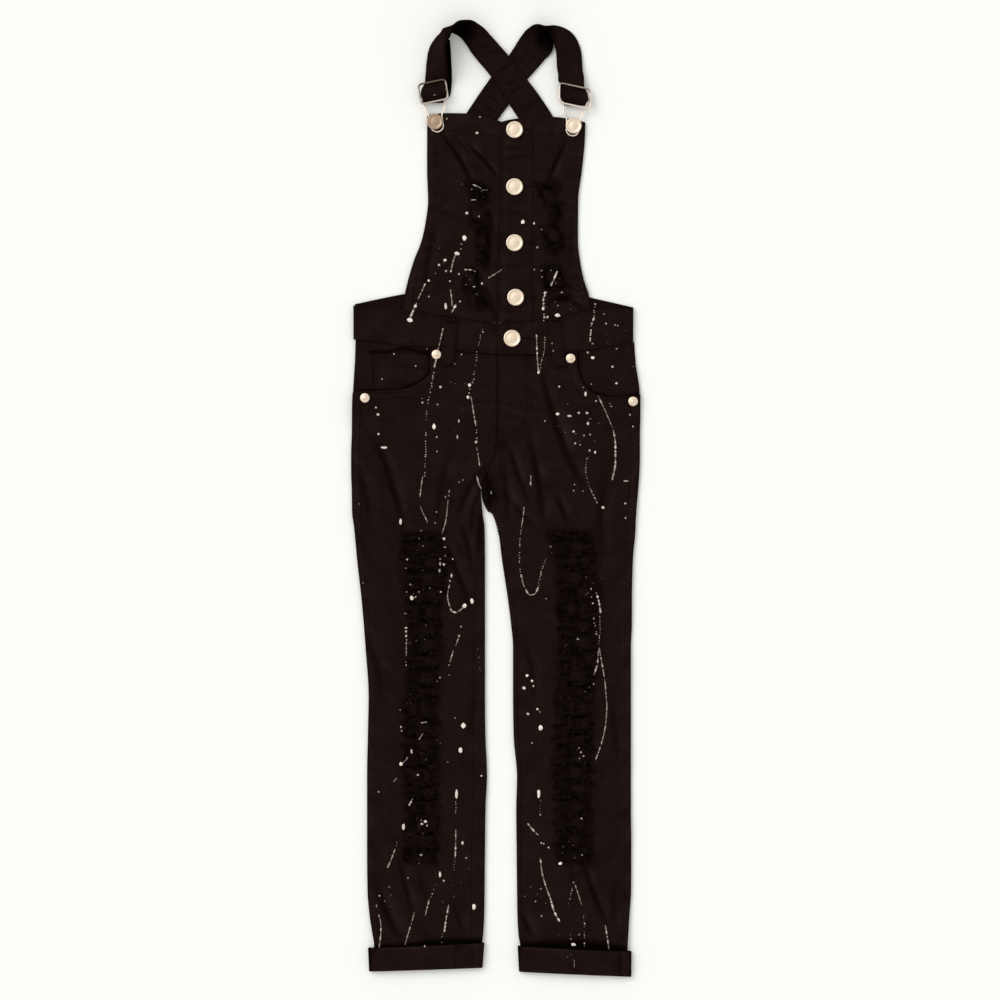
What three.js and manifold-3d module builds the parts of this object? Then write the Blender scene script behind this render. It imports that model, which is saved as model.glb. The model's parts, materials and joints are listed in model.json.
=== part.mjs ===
// Child's denim dungarees with crossed shoulder straps, laid flat with the front up.
// Millimetres, +X to the wearer's left, +Y towards the straps, +Z up, resting on Z = 0.
import * as THREE from "three";
import { mergeVertices } from "three/addons/utils/BufferGeometryUtils.js";
import Module from "manifold-3d";

const wasm = await Module();
wasm.setup();

// Driving dimensions
const DENIM = 1.2; // one layer of denim
const BAND = 1.8; // waistbands and belt loops, two layers
const WEB = 2.0; // shoulder straps, two layers
const SEAM = 0.3; // gap kept between neighbouring pieces
const STRAP_WIDTH = 26;
const FRONT_BUTTON = 17; // diameters
const BIB_BUTTON = 15;
const FRONT_STEM = 0.9; // height of a front button's head above the cloth
const RIVET = 9.5;
const SLIDE = { width: 31, height: 20, wire: 2.2, bar: 2, corner: 3.2 }; // to the middle of the wire
const HOOK = { width: 22.8, wire: 1.6, corner: 0.9 };
const THROAT = { radius: 8, below: 2, start: 15, end: -195, steps: 10 }; // the hook round its button
const CROWN = { height: 1.1, from: 352, to: 420 }; // how far a flat leg puffs up, from the waist down
const FOLDS_START = { from: 400, to: 440 }; // the legs' folds begin below the pockets
const FLY = { rise: 0.7, from: 500, to: 532, end: 430, fade: 465 }; // the left front over the right
const WAIST_LIFT = 0.6; // the legs' tops at the waistband
const POCKET_LIP = { right: 3.1, left: 1.7, flat: 4, fade: 20 }; // rise of the pocket mouths
const MOUTH_ROWS = 8; // sections of a front leg that follow its pocket mouth
const TURN_UP = { side: 5.9, bulge: 1.4 }; // height at its folds, and the puff between them
const TURN_UP_LEVELS = table("part open", [[0, 1], [0.33, 0.6], [0.67, 0.15], [1, 0]]); // top to bottom
const BIB_LIFT = 2.4; // the bib lies on the straps
const BIB_EDGE = 0.6; // height of the bib's side edges
const BIB_DROOP = { right: 24, left: 17 }; // width over which the bib comes down to its sides
const BIB_CLIMB = { from: 255, to: 288 }; // where its sides climb onto the back waistband
const BIB_TUCK = { from: 484, to: 498 }; // where the right half goes flat under the left one
const OVERLAP_EDGE = { from: 530, to: 550 }; // where the left front comes down off the right one
const LOOP_STEP = { from: 338, to: 348 }; // where a belt loop leaves the waistband for the leg

// Heights of the layers, from the surface up
const FRONT_LEG = DENIM + SEAM;
const FACING = DENIM + SEAM;
const COIN_POCKET = FACING + DENIM + SEAM;
const FRONT_BAND = BAND + SEAM;
const UPPER_BAND = FRONT_BAND + BAND + SEAM;
const PLACKET = BIB_LIFT + DENIM + SEAM;
const HEM_LIFT = DENIM + SEAM; // the hem lies on the back of its turn-up
const HEM_START = 915;
const HEM_END = 942;

// Heights through a strap's buckle, at the middle of each piece
const TAIL = WEB / 2;
const HOOK_BAR = WEB + SEAM + HOOK.wire / 2;
const FOLD_RADIUS = HOOK_BAR - TAIL;
const STRAP_AT_BUCKLE = HOOK_BAR + FOLD_RADIUS;
const SLIDE_HEIGHT = STRAP_AT_BUCKLE + WEB / 2 + SEAM + SLIDE.wire / 2;
const OVER_BAR = SLIDE_HEIGHT + SLIDE.wire / 2 + SEAM + WEB / 2 - STRAP_AT_BUCKLE;
const CROSSING = TAIL + WEB + SEAM;
const HOOK_ON_BIB = 4.7;
const FOLD_ALONG = -8.4; // where the strap turns round the hook's bar, below the slide's middle
const FOLD_HALF = 9.5; // half the strap's width, gathered at the fold and in the slide
const BUCKLE_HALF = 12;
const BUCKLE_ROWS = { from: -5.6, to: 13, pitch: 1.9, narrow: -8, wide: -4 };
const WEAVE = { over: 1.2, clear: 7.6 }; // how far from the slide's bar the strap rises
const TILT_RUN = 9; // the strap takes up the slide's tilt over this length
const TAIL_TILT = 0.6; // share of the rise at the raised edge of a strap's tail

// Places are charted in millimetres across and down the garment laid out flat.
const CHART_MIDDLE = { across: 495.75, down: 497.8 };

function place(across, down, height) {
  return new THREE.Vector3(across - CHART_MIDDLE.across, CHART_MIDDLE.down - down, height);
}

function table(columns, rows) {
  const names = columns.split(" ");
  return rows.map((row) => Object.fromEntries(names.map((name, i) => [name, row[i]])));
}

const mix = THREE.MathUtils.lerp;
const ease = (value, start, end) => THREE.MathUtils.smoothstep(value, start, end);

// Reads a column of a table between its rows.
function between(rows, key, column) {
  return (value) => {
    const next = rows.findIndex((row) => row[key] >= value);
    if (next <= 0) {
      return next === 0 ? rows[0][column] : rows[rows.length - 1][column];
    }
    const [low, high] = [rows[next - 1], rows[next]];
    return mix(low[column], high[column], (value - low[key]) / (high[key] - low[key]));
  };
}

const BIB_TOP_RIGHT = between(table("across down", [
  [428, 114.3], [445, 112.6], [466, 113], [485, 117], [500, 121.5], [526, 124],
]), "across", "down");
const BIB_TOP_LEFT = between(table("across down", [
  [500, 119.5], [520, 118], [553, 116.5], [570, 118.5], [586, 122],
]), "across", "down");
const BAND_TOP = between(table("across down", [
  [353, 305], [404, 310], [455, 318], [500, 323], [560, 316], [592, 310], [636, 308],
]), "across", "down");
const BAND_BOTTOM = between(table("across down", [
  [355, 340], [437, 349], [497, 354], [545, 355], [590, 350], [633, 342],
]), "across", "down");
const BACK_BAND_TOP = between(table("across down", [
  [353, 304], [404, 293.5], [450, 286], [496, 283], [545, 287], [588, 296.5], [636, 307.5],
]), "across", "down");
const BACK_BAND_BOTTOM = between(table("across down", [
  [355, 339.5], [404, 331], [450, 325], [496, 323], [545, 326], [588, 333], [634, 341.5],
]), "across", "down");

// Sections of the front legs, from the side seam or pocket mouth (a) to the centre seam (b)
const FRONT_RIGHT_HIP = table("aAcross aDown bAcross bDown", [
  [430, 345, 496.8, 345], [430, 361, 496.8, 362], [430, 372, 496.8, 372], [421, 382, 496.8, 383],
  [399, 390, 496.8, 395], [371, 391.3, 496.8, 407], [353, 392, 496.8, 419], [352, 410, 496.8, 432],
  [351.7, 432, 496.2, 444], [351, 455, 493.5, 457], [351, 472, 489, 470], [351.6, 490, 482, 490],
]);
const FRONT_LEFT_HIP = table("aAcross aDown bAcross bDown", [
  [577, 345, 497.2, 345], [577, 362, 497.2, 362], [579, 374, 497.2, 372], [583, 384, 497.2, 383],
  [595, 394, 497.2, 395], [611, 397.5, 497.2, 407], [627, 396.3, 497.2, 417], [640.5, 394.5, 497.2, 427],
  [640.5, 412, 497.2, 436], [640, 438, 496.5, 445], [640, 456, 493.9, 457], [639.4, 474, 489.4, 470],
  [638.2, 491, 482.4, 490], [637, 505, 482.8, 503],
]);
const BACK_RIGHT_HIP = table("aAcross aDown bAcross bDown", [
  [356, 320, 495.8, 320], [354.6, 365, 495.8, 352], [352.8, 395, 495.8, 388], [352.4, 432, 495.8, 430],
  [351.8, 462, 491.4, 462], [352.4, 490, 481.6, 490],
]);
const BACK_LEFT_HIP = table("aAcross aDown bAcross bDown", [
  [633, 320, 496.2, 320], [636, 365, 496.2, 352], [639.8, 398, 496.2, 388], [639.4, 432, 496.2, 430],
  [639.4, 462, 491.8, 462], [637.6, 490, 482.2, 490],
]);
const RIGHT_LEG = table("down out inseam", [
  [512, 352, 482], [528, 354, 484.5], [560, 357, 485], [600, 361.5, 485], [648, 365.5, 485],
  [696, 368.5, 485], [735, 367.8, 485.4], [775, 367, 487], [810, 367, 485.5], [850, 367, 485],
  [890, 367.4, 484.6],
  [915, 369.4, 484.2], [932, 372, 483.4], [944, 374, 482], [965, 374.4, 480.2],
]);
const LEFT_LEG = table("down out inseam", [
  [512, 636.4, 483.4], [518, 636, 490.5], [530, 635.6, 496.5], [560, 633, 502], [600, 632, 508],
  [624, 632, 511],
  [648, 631, 513], [696, 631, 513], [735, 631, 513.6], [778, 631, 517], [810, 631, 516.2], [850, 631.4, 516.6],
  [890, 631.2, 517], [915, 629.6, 517.4], [934, 628.4, 518.4], [948, 627.6, 520.4], [969, 627.4, 521],
]);

// Raised folds, each a soft ridge from one point to another
const LEG_FOLDS = table("aAcross aDown bAcross bDown width height", [
  [392, 436, 412, 526, 9, 1.5], [374, 468, 386, 545, 8, 0.9], [444, 452, 432, 520, 10, 0.9],
  [451, 540, 473, 606, 9, 1.2], [362, 640, 380, 690, 9, 0.7], [470, 700, 462, 770, 9, 0.6],
  [380, 880, 400, 930, 9, 0.9], [452, 880, 470, 930, 9, 0.6], [506, 446, 530, 508, 8, 1.3],
  [527, 452, 540, 520, 8, 1.1], [541, 440, 558, 522, 9, 1.5], [566, 474, 592, 532, 9, 1.4],
  [612, 500, 604, 560, 10, 0.8], [528, 640, 536, 700, 9, 0.7], [610, 760, 618, 830, 9, 0.6],
  [586, 858, 600, 930, 10, 1.0], [536, 880, 528, 930, 8, 0.7],
]);
const BIB_FOLDS = table("aAcross aDown bAcross bDown width height", [
  [444, 142, 484, 182, 7, 1.1], [448, 168, 462, 196, 7, 0.7], [566, 150, 545, 186, 7, 0.9],
  [436, 230, 424, 290, 8, 0.8], [486, 292, 494, 316, 6, 0.6], [566, 230, 570, 280, 6, 0.6],
]);

// Rips: the worn strip down each leg, and single tears in the bib
const WORN_RIGHT = table("down from to", [
  [538, 401, 445], [558, 400, 453], [578, 402, 449], [600, 405, 445], [640, 409, 443],
  [700, 404, 440], [760, 403, 441], [800, 405, 441], [858, 404, 441],
]);
const WORN_LEFT = table("down from to", [
  [536, 549, 595], [573, 557, 599], [593, 558, 603], [610, 556, 599], [640, 560, 599],
  [700, 556, 596], [760, 553, 595], [810, 555, 595], [858, 556, 594],
]);
const RIP_PITCH = 16.4;
const RIP_GAPES = [8.2, 7, 8.6, 6.4, 7.6, 8.8, 6.8];
const RIP_SHIFTS = [0, 2.2, -1.6, 1, -2.4, 0.6];
const RIP_LENS = table("part side", [[0, 0], [0.22, 0.86], [0.6, 1], [1, 0.08], [0.74, -0.9], [0.3, -1]]);
const RIP_DEPTH = { below: 10, whole: 40 };
const BIB_RIPS = table("from to down gape", [
  [472, 488, 189, 6], [471, 488, 203, 5], [472, 490, 220, 7], [474, 490, 245, 7], [475, 489, 259, 6],
  [466, 484, 280, 8], [538, 560, 188.5, 6], [545, 566, 205, 5.5], [543, 564, 232, 7],
  [543, 563, 269, 5.5], [547, 567, 290, 7],
]);

// Shoulder straps beyond the buckle: floor edge (a), raised edge (b), height of the floor edge
const STRAP_RIGHT = table("aAcross aDown bAcross bDown lift", [
  [423.4, 76, 447.6, 70, 5], [425.4, 71, 447.4, 65, 4.5], [426.6, 65.4, 446.4, 60, 4],
  [427.4, 60, 445.2, 55, 3.7], [428.4, 53, 444.6, 49.6, 3.5],
  [430.5, 46.5, 444.8, 44.6, 3.3], [434.4, 40.4, 445.8, 40, 2.4], [440, 35, 448, 34.6, 1.6],
  [446.4, 31.4, 451, 29.4, 1.2], [451.8, 31, 455.6, 24.4, TAIL], [456, 33, 462, 20.8, TAIL],
  [460, 36, 470.4, 19.8, TAIL], [463.6, 39.6, 479, 24.2, TAIL], [467, 44.6, 485.4, 29, TAIL],
  [471, 51.4, 491, 35, 1.2], [478, 60.4, 498.6, 43.8, 2.4], [484.6, 68, 505.4, 51.4, CROSSING],
  [498, 85.4, 519, 69, CROSSING], [511.6, 102.6, 532.4, 86.4, CROSSING], [522.6, 119.6, 544, 104, TAIL],
  [529.5, 130.1, 552.6, 117.9, TAIL], [532.8, 141.1, 558.2, 134.9, TAIL], [533.9, 156.7, 560, 155.3, TAIL],
  [534, 220, 560, 220, TAIL], [534, 285, 560, 288.8, TAIL],
]);
const STRAP_LEFT = table("aAcross aDown bAcross bDown lift", [
  [586, 78, 559.6, 74, 4.4], [584.4, 69, 557.8, 66, 3],
  [582.6, 60, 557.4, 58.6, 1.8], [581, 51, 556.4, 51.4, TAIL], [578.4, 43, 554.6, 45, TAIL],
  [574.6, 36, 552, 40, TAIL], [568, 30, 549.6, 34.4, TAIL], [559.4, 26.4, 547, 30.4, TAIL],
  [552.6, 25.4, 544.4, 27, TAIL], [548.8, 27, 541.4, 25, TAIL], [548.6, 31, 538, 24.2, TAIL],
  [550, 37, 534, 25.6, TAIL], [551, 43.4, 529.4, 28.4, TAIL], [548.6, 50, 524.8, 33, TAIL],
  [543, 57.4, 520.6, 39, TAIL], [537.4, 65.4, 515.4, 47.6, TAIL], [530, 74.6, 508, 57, TAIL],
  [519.4, 86, 497.6, 68.4, TAIL], [506, 103, 484.4, 86.6, TAIL], [495.6, 117, 474.4, 101.6, TAIL],
  [487.6, 130.1, 464.5, 117.9, TAIL], [484.2, 141.1, 458.8, 134.9, TAIL], [483, 156.7, 456.9, 155.3, TAIL],
  [483, 220, 457, 220, TAIL], [483, 283.4, 457, 285.1, TAIL],
]);

// Each buckle: middle of its slide, tilt of the slide, side of the floor edge, and its bib button
const BUCKLES = {
  right: { across: 433, down: 91, tilt: 12, floorSide: -1, button: { across: 435, down: 122 } },
  left: { across: 575, down: 95.5, tilt: -12, floorSide: 1, button: { across: 573.5, down: 126 } },
};
const TAILS = {
  right: table("aAcross aDown bAcross bDown lift", [
    [427, 46, 449.6, 46, TAIL], [427.2, 62, 451, 62, TAIL], [426.4, 78, 451.8, 78, TAIL],
    [425, 89, 450.6, 89, TAIL],
  ]),
  left: table("aAcross aDown bAcross bDown lift", [[588, 82, 562, 82, TAIL], [587.6, 93, 562.4, 93, TAIL]]),
};

const FRONT_BUTTONS = table("across down", [
  [514.5, 130], [514.5, 187], [514.5, 243], [515.5, 297.5], [512, 338.5],
]);
const RIVETS = table("name across down", [
  ["rivet_right_waist", 436.4, 354.6], ["rivet_right_side", 365, 398],
  ["rivet_left_waist", 570.6, 358.4], ["rivet_left_side", 633, 401.4],
]);

// Meshes
function outward(points, faces) {
  const [a, b, c] = [new THREE.Vector3(), new THREE.Vector3(), new THREE.Vector3()];
  let volume = 0;
  for (let i = 0; i < faces.length; i += 3) {
    a.copy(points[faces[i]]);
    b.copy(points[faces[i + 1]]);
    c.copy(points[faces[i + 2]]);
    volume += a.dot(b.cross(c));
  }
  const geometry = new THREE.BufferGeometry().setFromPoints(points);
  geometry.setIndex(volume < 0 ? faces.slice().reverse() : faces);
  return geometry;
}

// A closed wall between two grids of points
function wall(lower, upper) {
  const [rows, columns] = [lower.length, lower[0].length];
  const at = (i, j, side) => (side * rows + i) * columns + j;
  const faces = [];
  const quad = (a, b, c, d) => faces.push(a, b, c, a, c, d);
  for (let i = 0; i < rows - 1; i++) {
    for (let j = 0; j < columns - 1; j++) {
      quad(at(i, j, 1), at(i + 1, j, 1), at(i + 1, j + 1, 1), at(i, j + 1, 1));
      quad(at(i, j, 0), at(i, j + 1, 0), at(i + 1, j + 1, 0), at(i + 1, j, 0));
    }
    quad(at(i, 0, 0), at(i + 1, 0, 0), at(i + 1, 0, 1), at(i, 0, 1));
    quad(at(i, columns - 1, 1), at(i + 1, columns - 1, 1), at(i + 1, columns - 1, 0), at(i, columns - 1, 0));
  }
  for (let j = 0; j < columns - 1; j++) {
    quad(at(0, j, 1), at(0, j + 1, 1), at(0, j + 1, 0), at(0, j, 0));
    quad(at(rows - 1, j, 0), at(rows - 1, j + 1, 0), at(rows - 1, j + 1, 1), at(rows - 1, j, 1));
  }
  return outward([...lower.flat(), ...upper.flat()], faces);
}

// Rings of points joined into a closed band, the first ring following the last
function loopBand(rings) {
  const sides = rings[0].length;
  const faces = [];
  rings.forEach((ring, i) => {
    const next = (i + 1) % rings.length;
    for (let j = 0; j < sides; j++) {
      const beside = (j + 1) % sides;
      const [a, b, c, d] = [i * sides + j, next * sides + j, next * sides + beside, i * sides + beside];
      faces.push(a, b, c, a, c, d);
    }
  });
  return outward(rings.flat(), faces);
}

function solid(geometry) {
  const bare = geometry.clone();
  bare.deleteAttribute("normal");
  bare.deleteAttribute("uv");
  const merged = mergeVertices(bare, 1e-4);
  return new wasm.Manifold(new wasm.Mesh({
    numProp: 3,
    vertProperties: new Float32Array(merged.attributes.position.array),
    triVerts: new Uint32Array(merged.index.array),
  }));
}

function meshOf(manifold) {
  const mesh = manifold.getMesh();
  const geometry = new THREE.BufferGeometry();
  geometry.setAttribute("position", new THREE.BufferAttribute(mesh.vertProperties, 3));
  geometry.setIndex(new THREE.BufferAttribute(mesh.triVerts, 1));
  return geometry;
}

// Extra sections so that none is further than the pitch from the next
function closer(sections, pitch) {
  const fine = [sections[0]];
  sections.slice(1).forEach((end, i) => {
    const start = sections[i];
    const reach = Math.max(Math.hypot(end.aAcross - start.aAcross, end.aDown - start.aDown),
      Math.hypot(end.bAcross - start.bAcross, end.bDown - start.bDown));
    const steps = Math.ceil(reach / pitch);
    for (let k = 1; k <= steps; k++) {
      const names = Object.keys(end);
      fine.push(Object.fromEntries(names.map((name) => [name, mix(start[name], end[name], k / steps)])));
    }
  });
  return fine;
}

// A panel of cloth through its sections, its ends trimmed to the curves above and below it
function panel(sections, columns, under, thickness, trim = {}) {
  const lower = sections.map((section) => {
    const line = [];
    for (let j = 0; j <= columns; j++) {
      const across = mix(section.aAcross, section.bAcross, j / columns);
      let down = mix(section.aDown, section.bDown, j / columns);
      down = trim.above ? Math.max(down, trim.above(across) + SEAM) : down;
      down = trim.below ? Math.min(down, trim.below(across) - SEAM) : down;
      line.push(place(across, down, under(across, down)));
    }
    return line;
  });
  const upper = lower.map((line) => line.map((point) => point.clone().setZ(point.z + thickness)));
  return wall(lower, upper);
}

function legSections(hip, leg, inset = 0) {
  const side = Math.sign(leg[0].out - leg[0].inseam);
  const rest = leg.map((row) => ({
    aAcross: row.out - side * inset, aDown: row.down, bAcross: row.inseam + side * inset, bDown: row.down,
  }));
  return [...hip, ...rest];
}

// Heights
function distanceTo(across, down, fold) {
  const [runAcross, runDown] = [fold.bAcross - fold.aAcross, fold.bDown - fold.aDown];
  const part = ((across - fold.aAcross) * runAcross + (down - fold.aDown) * runDown)
    / (runAcross ** 2 + runDown ** 2);
  const nearest = THREE.MathUtils.clamp(part, 0, 1);
  return Math.hypot(across - fold.aAcross - nearest * runAcross, down - fold.aDown - nearest * runDown);
}

function foldHeight(folds, across, down) {
  return folds.reduce((height, fold) => {
    const away = distanceTo(across, down, fold) / fold.width;
    return Math.max(height, fold.height * Math.exp(-away * away));
  }, 0);
}

function mouthHeight(hip, lip, across, down) {
  const mouth = hip.slice(0, MOUTH_ROWS);
  const away = mouth.slice(1).reduce((least, end, i) => {
    const edge = { aAcross: mouth[i].aAcross, aDown: mouth[i].aDown, bAcross: end.aAcross, bDown: end.aDown };
    return Math.min(least, distanceTo(across, down, edge));
  }, Infinity);
  return lip * (1 - ease(away, POCKET_LIP.flat, POCKET_LIP.fade));
}

function legHeight(hip, leg, lip, flyRise) {
  const edges = legSections(hip, leg).map(({ aAcross, aDown, bAcross }) => (
    { down: aDown, out: aAcross, inseam: bAcross }
  ));
  const outAt = between(edges, "down", "out");
  const inseamAt = between(edges, "down", "inseam");
  return (across, down) => {
    const part = (across - outAt(down)) / (inseamAt(down) - outAt(down));
    const puff = CROWN.height * Math.sin(Math.PI * THREE.MathUtils.clamp(part, 0, 1));
    const below = ease(down, CROWN.from, CROWN.to);
    const folds = foldHeight(LEG_FOLDS, across, down) * ease(down, FOLDS_START.from, FOLDS_START.to);
    const fly = flyRise * (1 - ease(across, FLY.from, FLY.to)) * (1 - ease(down, FLY.end, FLY.fade));
    const waist = WAIST_LIFT * (1 - below) + mouthHeight(hip, lip, across, down) + fly;
    const hem = ease(down, HEM_START, HEM_END);
    return FRONT_LEG + waist + (puff * below + folds) * (1 - hem) + HEM_LIFT * hem;
  };
}

const frontRightHeight = legHeight(FRONT_RIGHT_HIP, RIGHT_LEG, POCKET_LIP.right, 0);
const frontLeftHeight = legHeight(FRONT_LEFT_HIP, LEFT_LEG, POCKET_LIP.left, FLY.rise);
const backHeight = (across, down) => HEM_LIFT * ease(down, HEM_START, HEM_END);
const flat = (height) => () => height;

function upperBandHeight(across) {
  return mix(UPPER_BAND, FRONT_BAND, ease(across, OVERLAP_EDGE.from, OVERLAP_EDGE.to));
}

// The bib's sides come down to the surface, then climb onto the back waistband.
function bibEdgeHeight(down) {
  return mix(BIB_EDGE, FRONT_BAND, ease(down, BIB_CLIMB.from, BIB_CLIMB.to));
}

function bibRightHeight(across, down) {
  const edge = BIB_SIDES.right(down);
  const lift = mix(bibEdgeHeight(down), BIB_LIFT, ease(across, edge, edge + BIB_DROOP.right));
  return lift + foldHeight(BIB_FOLDS, across, down) * (1 - ease(across, BIB_TUCK.from, BIB_TUCK.to));
}

function bibLeftHeight(across, down) {
  const edge = BIB_SIDES.left(down);
  const overlap = mix(PLACKET, BIB_LIFT, ease(across, OVERLAP_EDGE.from, OVERLAP_EDGE.to));
  const lift = mix(overlap, bibEdgeHeight(down), ease(across, edge - BIB_DROOP.left, edge));
  return lift + foldHeight(BIB_FOLDS, across, down);
}

// Rips are lens shaped, widest in the middle.
function rip({ from, to, down, gape }) {
  const half = gape / 2;
  const outline = new THREE.Shape();
  outline.setFromPoints(RIP_LENS.map(({ part, side }) => {
    const corner = place(mix(from, to, part), down - side * half, 0);
    return new THREE.Vector2(corner.x, corner.y);
  }));
  const through = new THREE.ExtrudeGeometry(outline, { depth: RIP_DEPTH.whole, bevelEnabled: false });
  return through.translate(0, 0, -RIP_DEPTH.below);
}

function wornStrip(strip) {
  const fromAt = between(strip, "down", "from");
  const toAt = between(strip, "down", "to");
  const first = strip[0].down;
  const last = strip[strip.length - 1].down;
  const count = Math.floor((last - first) / RIP_PITCH) + 1;
  return Array.from({ length: count }, (_, i) => {
    const shift = RIP_SHIFTS[i % RIP_SHIFTS.length];
    const down = first + i * RIP_PITCH + shift / 2;
    const gape = RIP_GAPES[i % RIP_GAPES.length];
    return { from: fromAt(down) + shift, to: toAt(down) + shift / 2, down, gape };
  });
}

function torn(geometry, rips) {
  return meshOf(rips.reduce((cloth, tear) => cloth.subtract(solid(rip(tear))), solid(geometry)));
}

// Straps: a ribbon whose raised edge stands as high as the strap's width allows
function strapPoints(row) {
  const spread = Math.hypot(row.bAcross - row.aAcross, row.bDown - row.aDown);
  const rise = Math.sqrt(Math.max(0, STRAP_WIDTH ** 2 - spread ** 2));
  const start = place(row.aAcross, row.aDown, row.lift);
  const end = place(row.bAcross, row.bDown, row.lift + rise);
  return [0, 0.5, 1].map((part) => start.clone().lerp(end, part));
}

function tailPoints(row) {
  return strapPoints(row).map((point) => point.setZ(mix(TAIL, point.z, TAIL_TILT)));
}

// The strap at its buckle: up round the hook's bar, then over the slide's middle bar
function bucklePoints(buckle, along, height, half, weave) {
  const turn = THREE.MathUtils.degToRad(buckle.tilt);
  return [-1, 0, 1].map((part) => {
    const side = part * half * -buckle.floorSide;
    const reach = along + side * Math.tan(turn) * ease(along, 0, TILT_RUN);
    const upSlide = reach * Math.cos(turn) - side * Math.sin(turn);
    const raised = OVER_BAR * (1 - ease(Math.abs(upSlide), WEAVE.over, WEAVE.clear));
    return place(buckle.across + side, buckle.down - reach, height + raised * weave);
  });
}

function strap(side) {
  const buckle = BUCKLES[side];
  const rest = side === "right" ? STRAP_RIGHT : STRAP_LEFT;
  const middle = TAILS[side].map(tailPoints);
  for (const angle of [-90, -45, 0, 45, 90]) {
    const turn = THREE.MathUtils.degToRad(angle);
    const along = FOLD_ALONG - FOLD_RADIUS * Math.cos(turn);
    const weave = Math.max(0, Math.sin(turn));
    middle.push(bucklePoints(buckle, along, HOOK_BAR + FOLD_RADIUS * Math.sin(turn), FOLD_HALF, weave));
  }
  for (let along = BUCKLE_ROWS.from; along < BUCKLE_ROWS.to; along += BUCKLE_ROWS.pitch) {
    const half = mix(FOLD_HALF, BUCKLE_HALF, ease(along, BUCKLE_ROWS.narrow, BUCKLE_ROWS.wide));
    middle.push(bucklePoints(buckle, along, STRAP_AT_BUCKLE, half, 1));
  }
  middle.push(...rest.map(strapPoints));
  const normals = middle.map((line, i) => line.map((_, j) => {
    const before = middle[Math.max(0, i - 1)][j];
    const after = middle[Math.min(middle.length - 1, i + 1)][j];
    const ahead = after.clone().sub(before);
    return line[2].clone().sub(line[0]).cross(ahead).normalize();
  }));
  const offset = (sign) => middle.map((line, i) => line.map((point, j) => (
    point.clone().addScaledVector(normals[i][j], sign * WEB / 2)
  )));
  return wall(offset(-1), offset(1));
}

// Wire bent round a closed loop of points
function wire(points, diameter, sides) {
  const up = new THREE.Vector3(0, 0, 1);
  return loopBand(points.map((point, i) => {
    const before = points[(i + points.length - 1) % points.length];
    const after = points[(i + 1) % points.length];
    const ahead = after.clone().sub(point).normalize();
    const behind = point.clone().sub(before).normalize();
    const tangent = ahead.clone().add(behind).normalize();
    const outwards = tangent.clone().cross(up).normalize();
    const lift = outwards.clone().cross(tangent);
    const mitre = 1 / Math.max(0.5, tangent.dot(ahead));
    return Array.from({ length: sides }, (_, k) => {
      const angle = (2 * Math.PI * k) / sides;
      return point.clone()
        .addScaledVector(outwards, mitre * Math.cos(angle) * diameter / 2)
        .addScaledVector(lift, Math.sin(angle) * diameter / 2);
    });
  }));
}

// An arc of plan points about a centre, in degrees
function arc(centre, radius, start, end, steps) {
  return Array.from({ length: steps + 1 }, (_, k) => {
    const angle = THREE.MathUtils.degToRad(mix(start, end, k / steps));
    return new THREE.Vector2(centre.x + radius * Math.cos(angle), centre.y + radius * Math.sin(angle));
  });
}

function slide(buckle) {
  const x = SLIDE.width / 2 - SLIDE.corner;
  const y = SLIDE.height / 2 - SLIDE.corner;
  const outline = [[x, y, 0], [-x, y, 90], [-x, -y, 180], [x, -y, 270]].flatMap(([atX, atY, start]) => (
    arc({ x: atX, y: atY }, SLIDE.corner, start, start + 90, 3)
  ));
  const frame = wire(outline.map((point) => new THREE.Vector3(point.x, point.y, 0)), SLIDE.wire, 8);
  const bar = new THREE.CylinderGeometry(SLIDE.bar / 2, SLIDE.bar / 2, SLIDE.width, 8);
  const joined = meshOf(solid(frame).add(solid(bar.rotateZ(Math.PI / 2))));
  const middle = place(buckle.across, buckle.down, SLIDE_HEIGHT);
  joined.rotateZ(THREE.MathUtils.degToRad(buckle.tilt));
  return joined.translate(middle.x, middle.y, middle.z);
}

function hook(buckle) {
  const bar = place(buckle.across, buckle.down - FOLD_ALONG, HOOK_BAR);
  const button = place(buckle.button.across, buckle.button.down, HOOK_ON_BIB);
  const x = HOOK.width / 2 - HOOK.corner;
  const left = arc({ x: bar.x - x, y: bar.y - HOOK.corner }, HOOK.corner, 180, 90, 2);
  const right = arc({ x: bar.x + x, y: bar.y - HOOK.corner }, HOOK.corner, 90, 0, 2);
  const middle = { x: button.x, y: button.y - THROAT.below };
  const throat = arc(middle, THROAT.radius, THROAT.start, THROAT.end, THROAT.steps);
  const raised = (points, height) => points.map((point) => new THREE.Vector3(point.x, point.y, height));
  const neck = (corner, end) => raised([corner.clone().lerp(end, 0.5)], button.z);
  return wire([
    ...raised(left, bar.z), ...raised(right, bar.z), ...neck(right[2], throat[0]),
    ...raised(throat, button.z), ...neck(left[0], throat[THROAT.steps]),
  ], HOOK.wire, 6);
}

// Turned metal: points of radius and height, spun about Z
function turned(points, segments) {
  return new THREE.LatheGeometry(points, segments).rotateX(Math.PI / 2);
}

const BUTTON_STEM = 3; // radius
const BUTTON_FACE = table("inset rise", [[0.8, 0], [0, 0.7], [0.4, 1.7], [1.5, 2.2], [2.8, 1.8]]);
const BUTTON_CROWN = 2;
const RIVET_FACE = table("share height", [
  [0, 0], [0.94, 0], [1, 0.4], [0.79, 1.1], [0.34, 1.3], [0.25, 1.9], [0, 2],
]);

function button(diameter, stem) {
  const face = BUTTON_FACE.map(({ inset, rise }) => new THREE.Vector2(diameter / 2 - inset, stem + rise));
  const foot = [[0, 0], [BUTTON_STEM, 0], [BUTTON_STEM, stem]].map((spot) => new THREE.Vector2(...spot));
  return turned([...foot, ...face, new THREE.Vector2(0, stem + BUTTON_CROWN)], 14);
}

function rivet() {
  return turned(RIVET_FACE.map(({ share, height }) => new THREE.Vector2(share * RIVET / 2, height)), 10);
}

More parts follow.
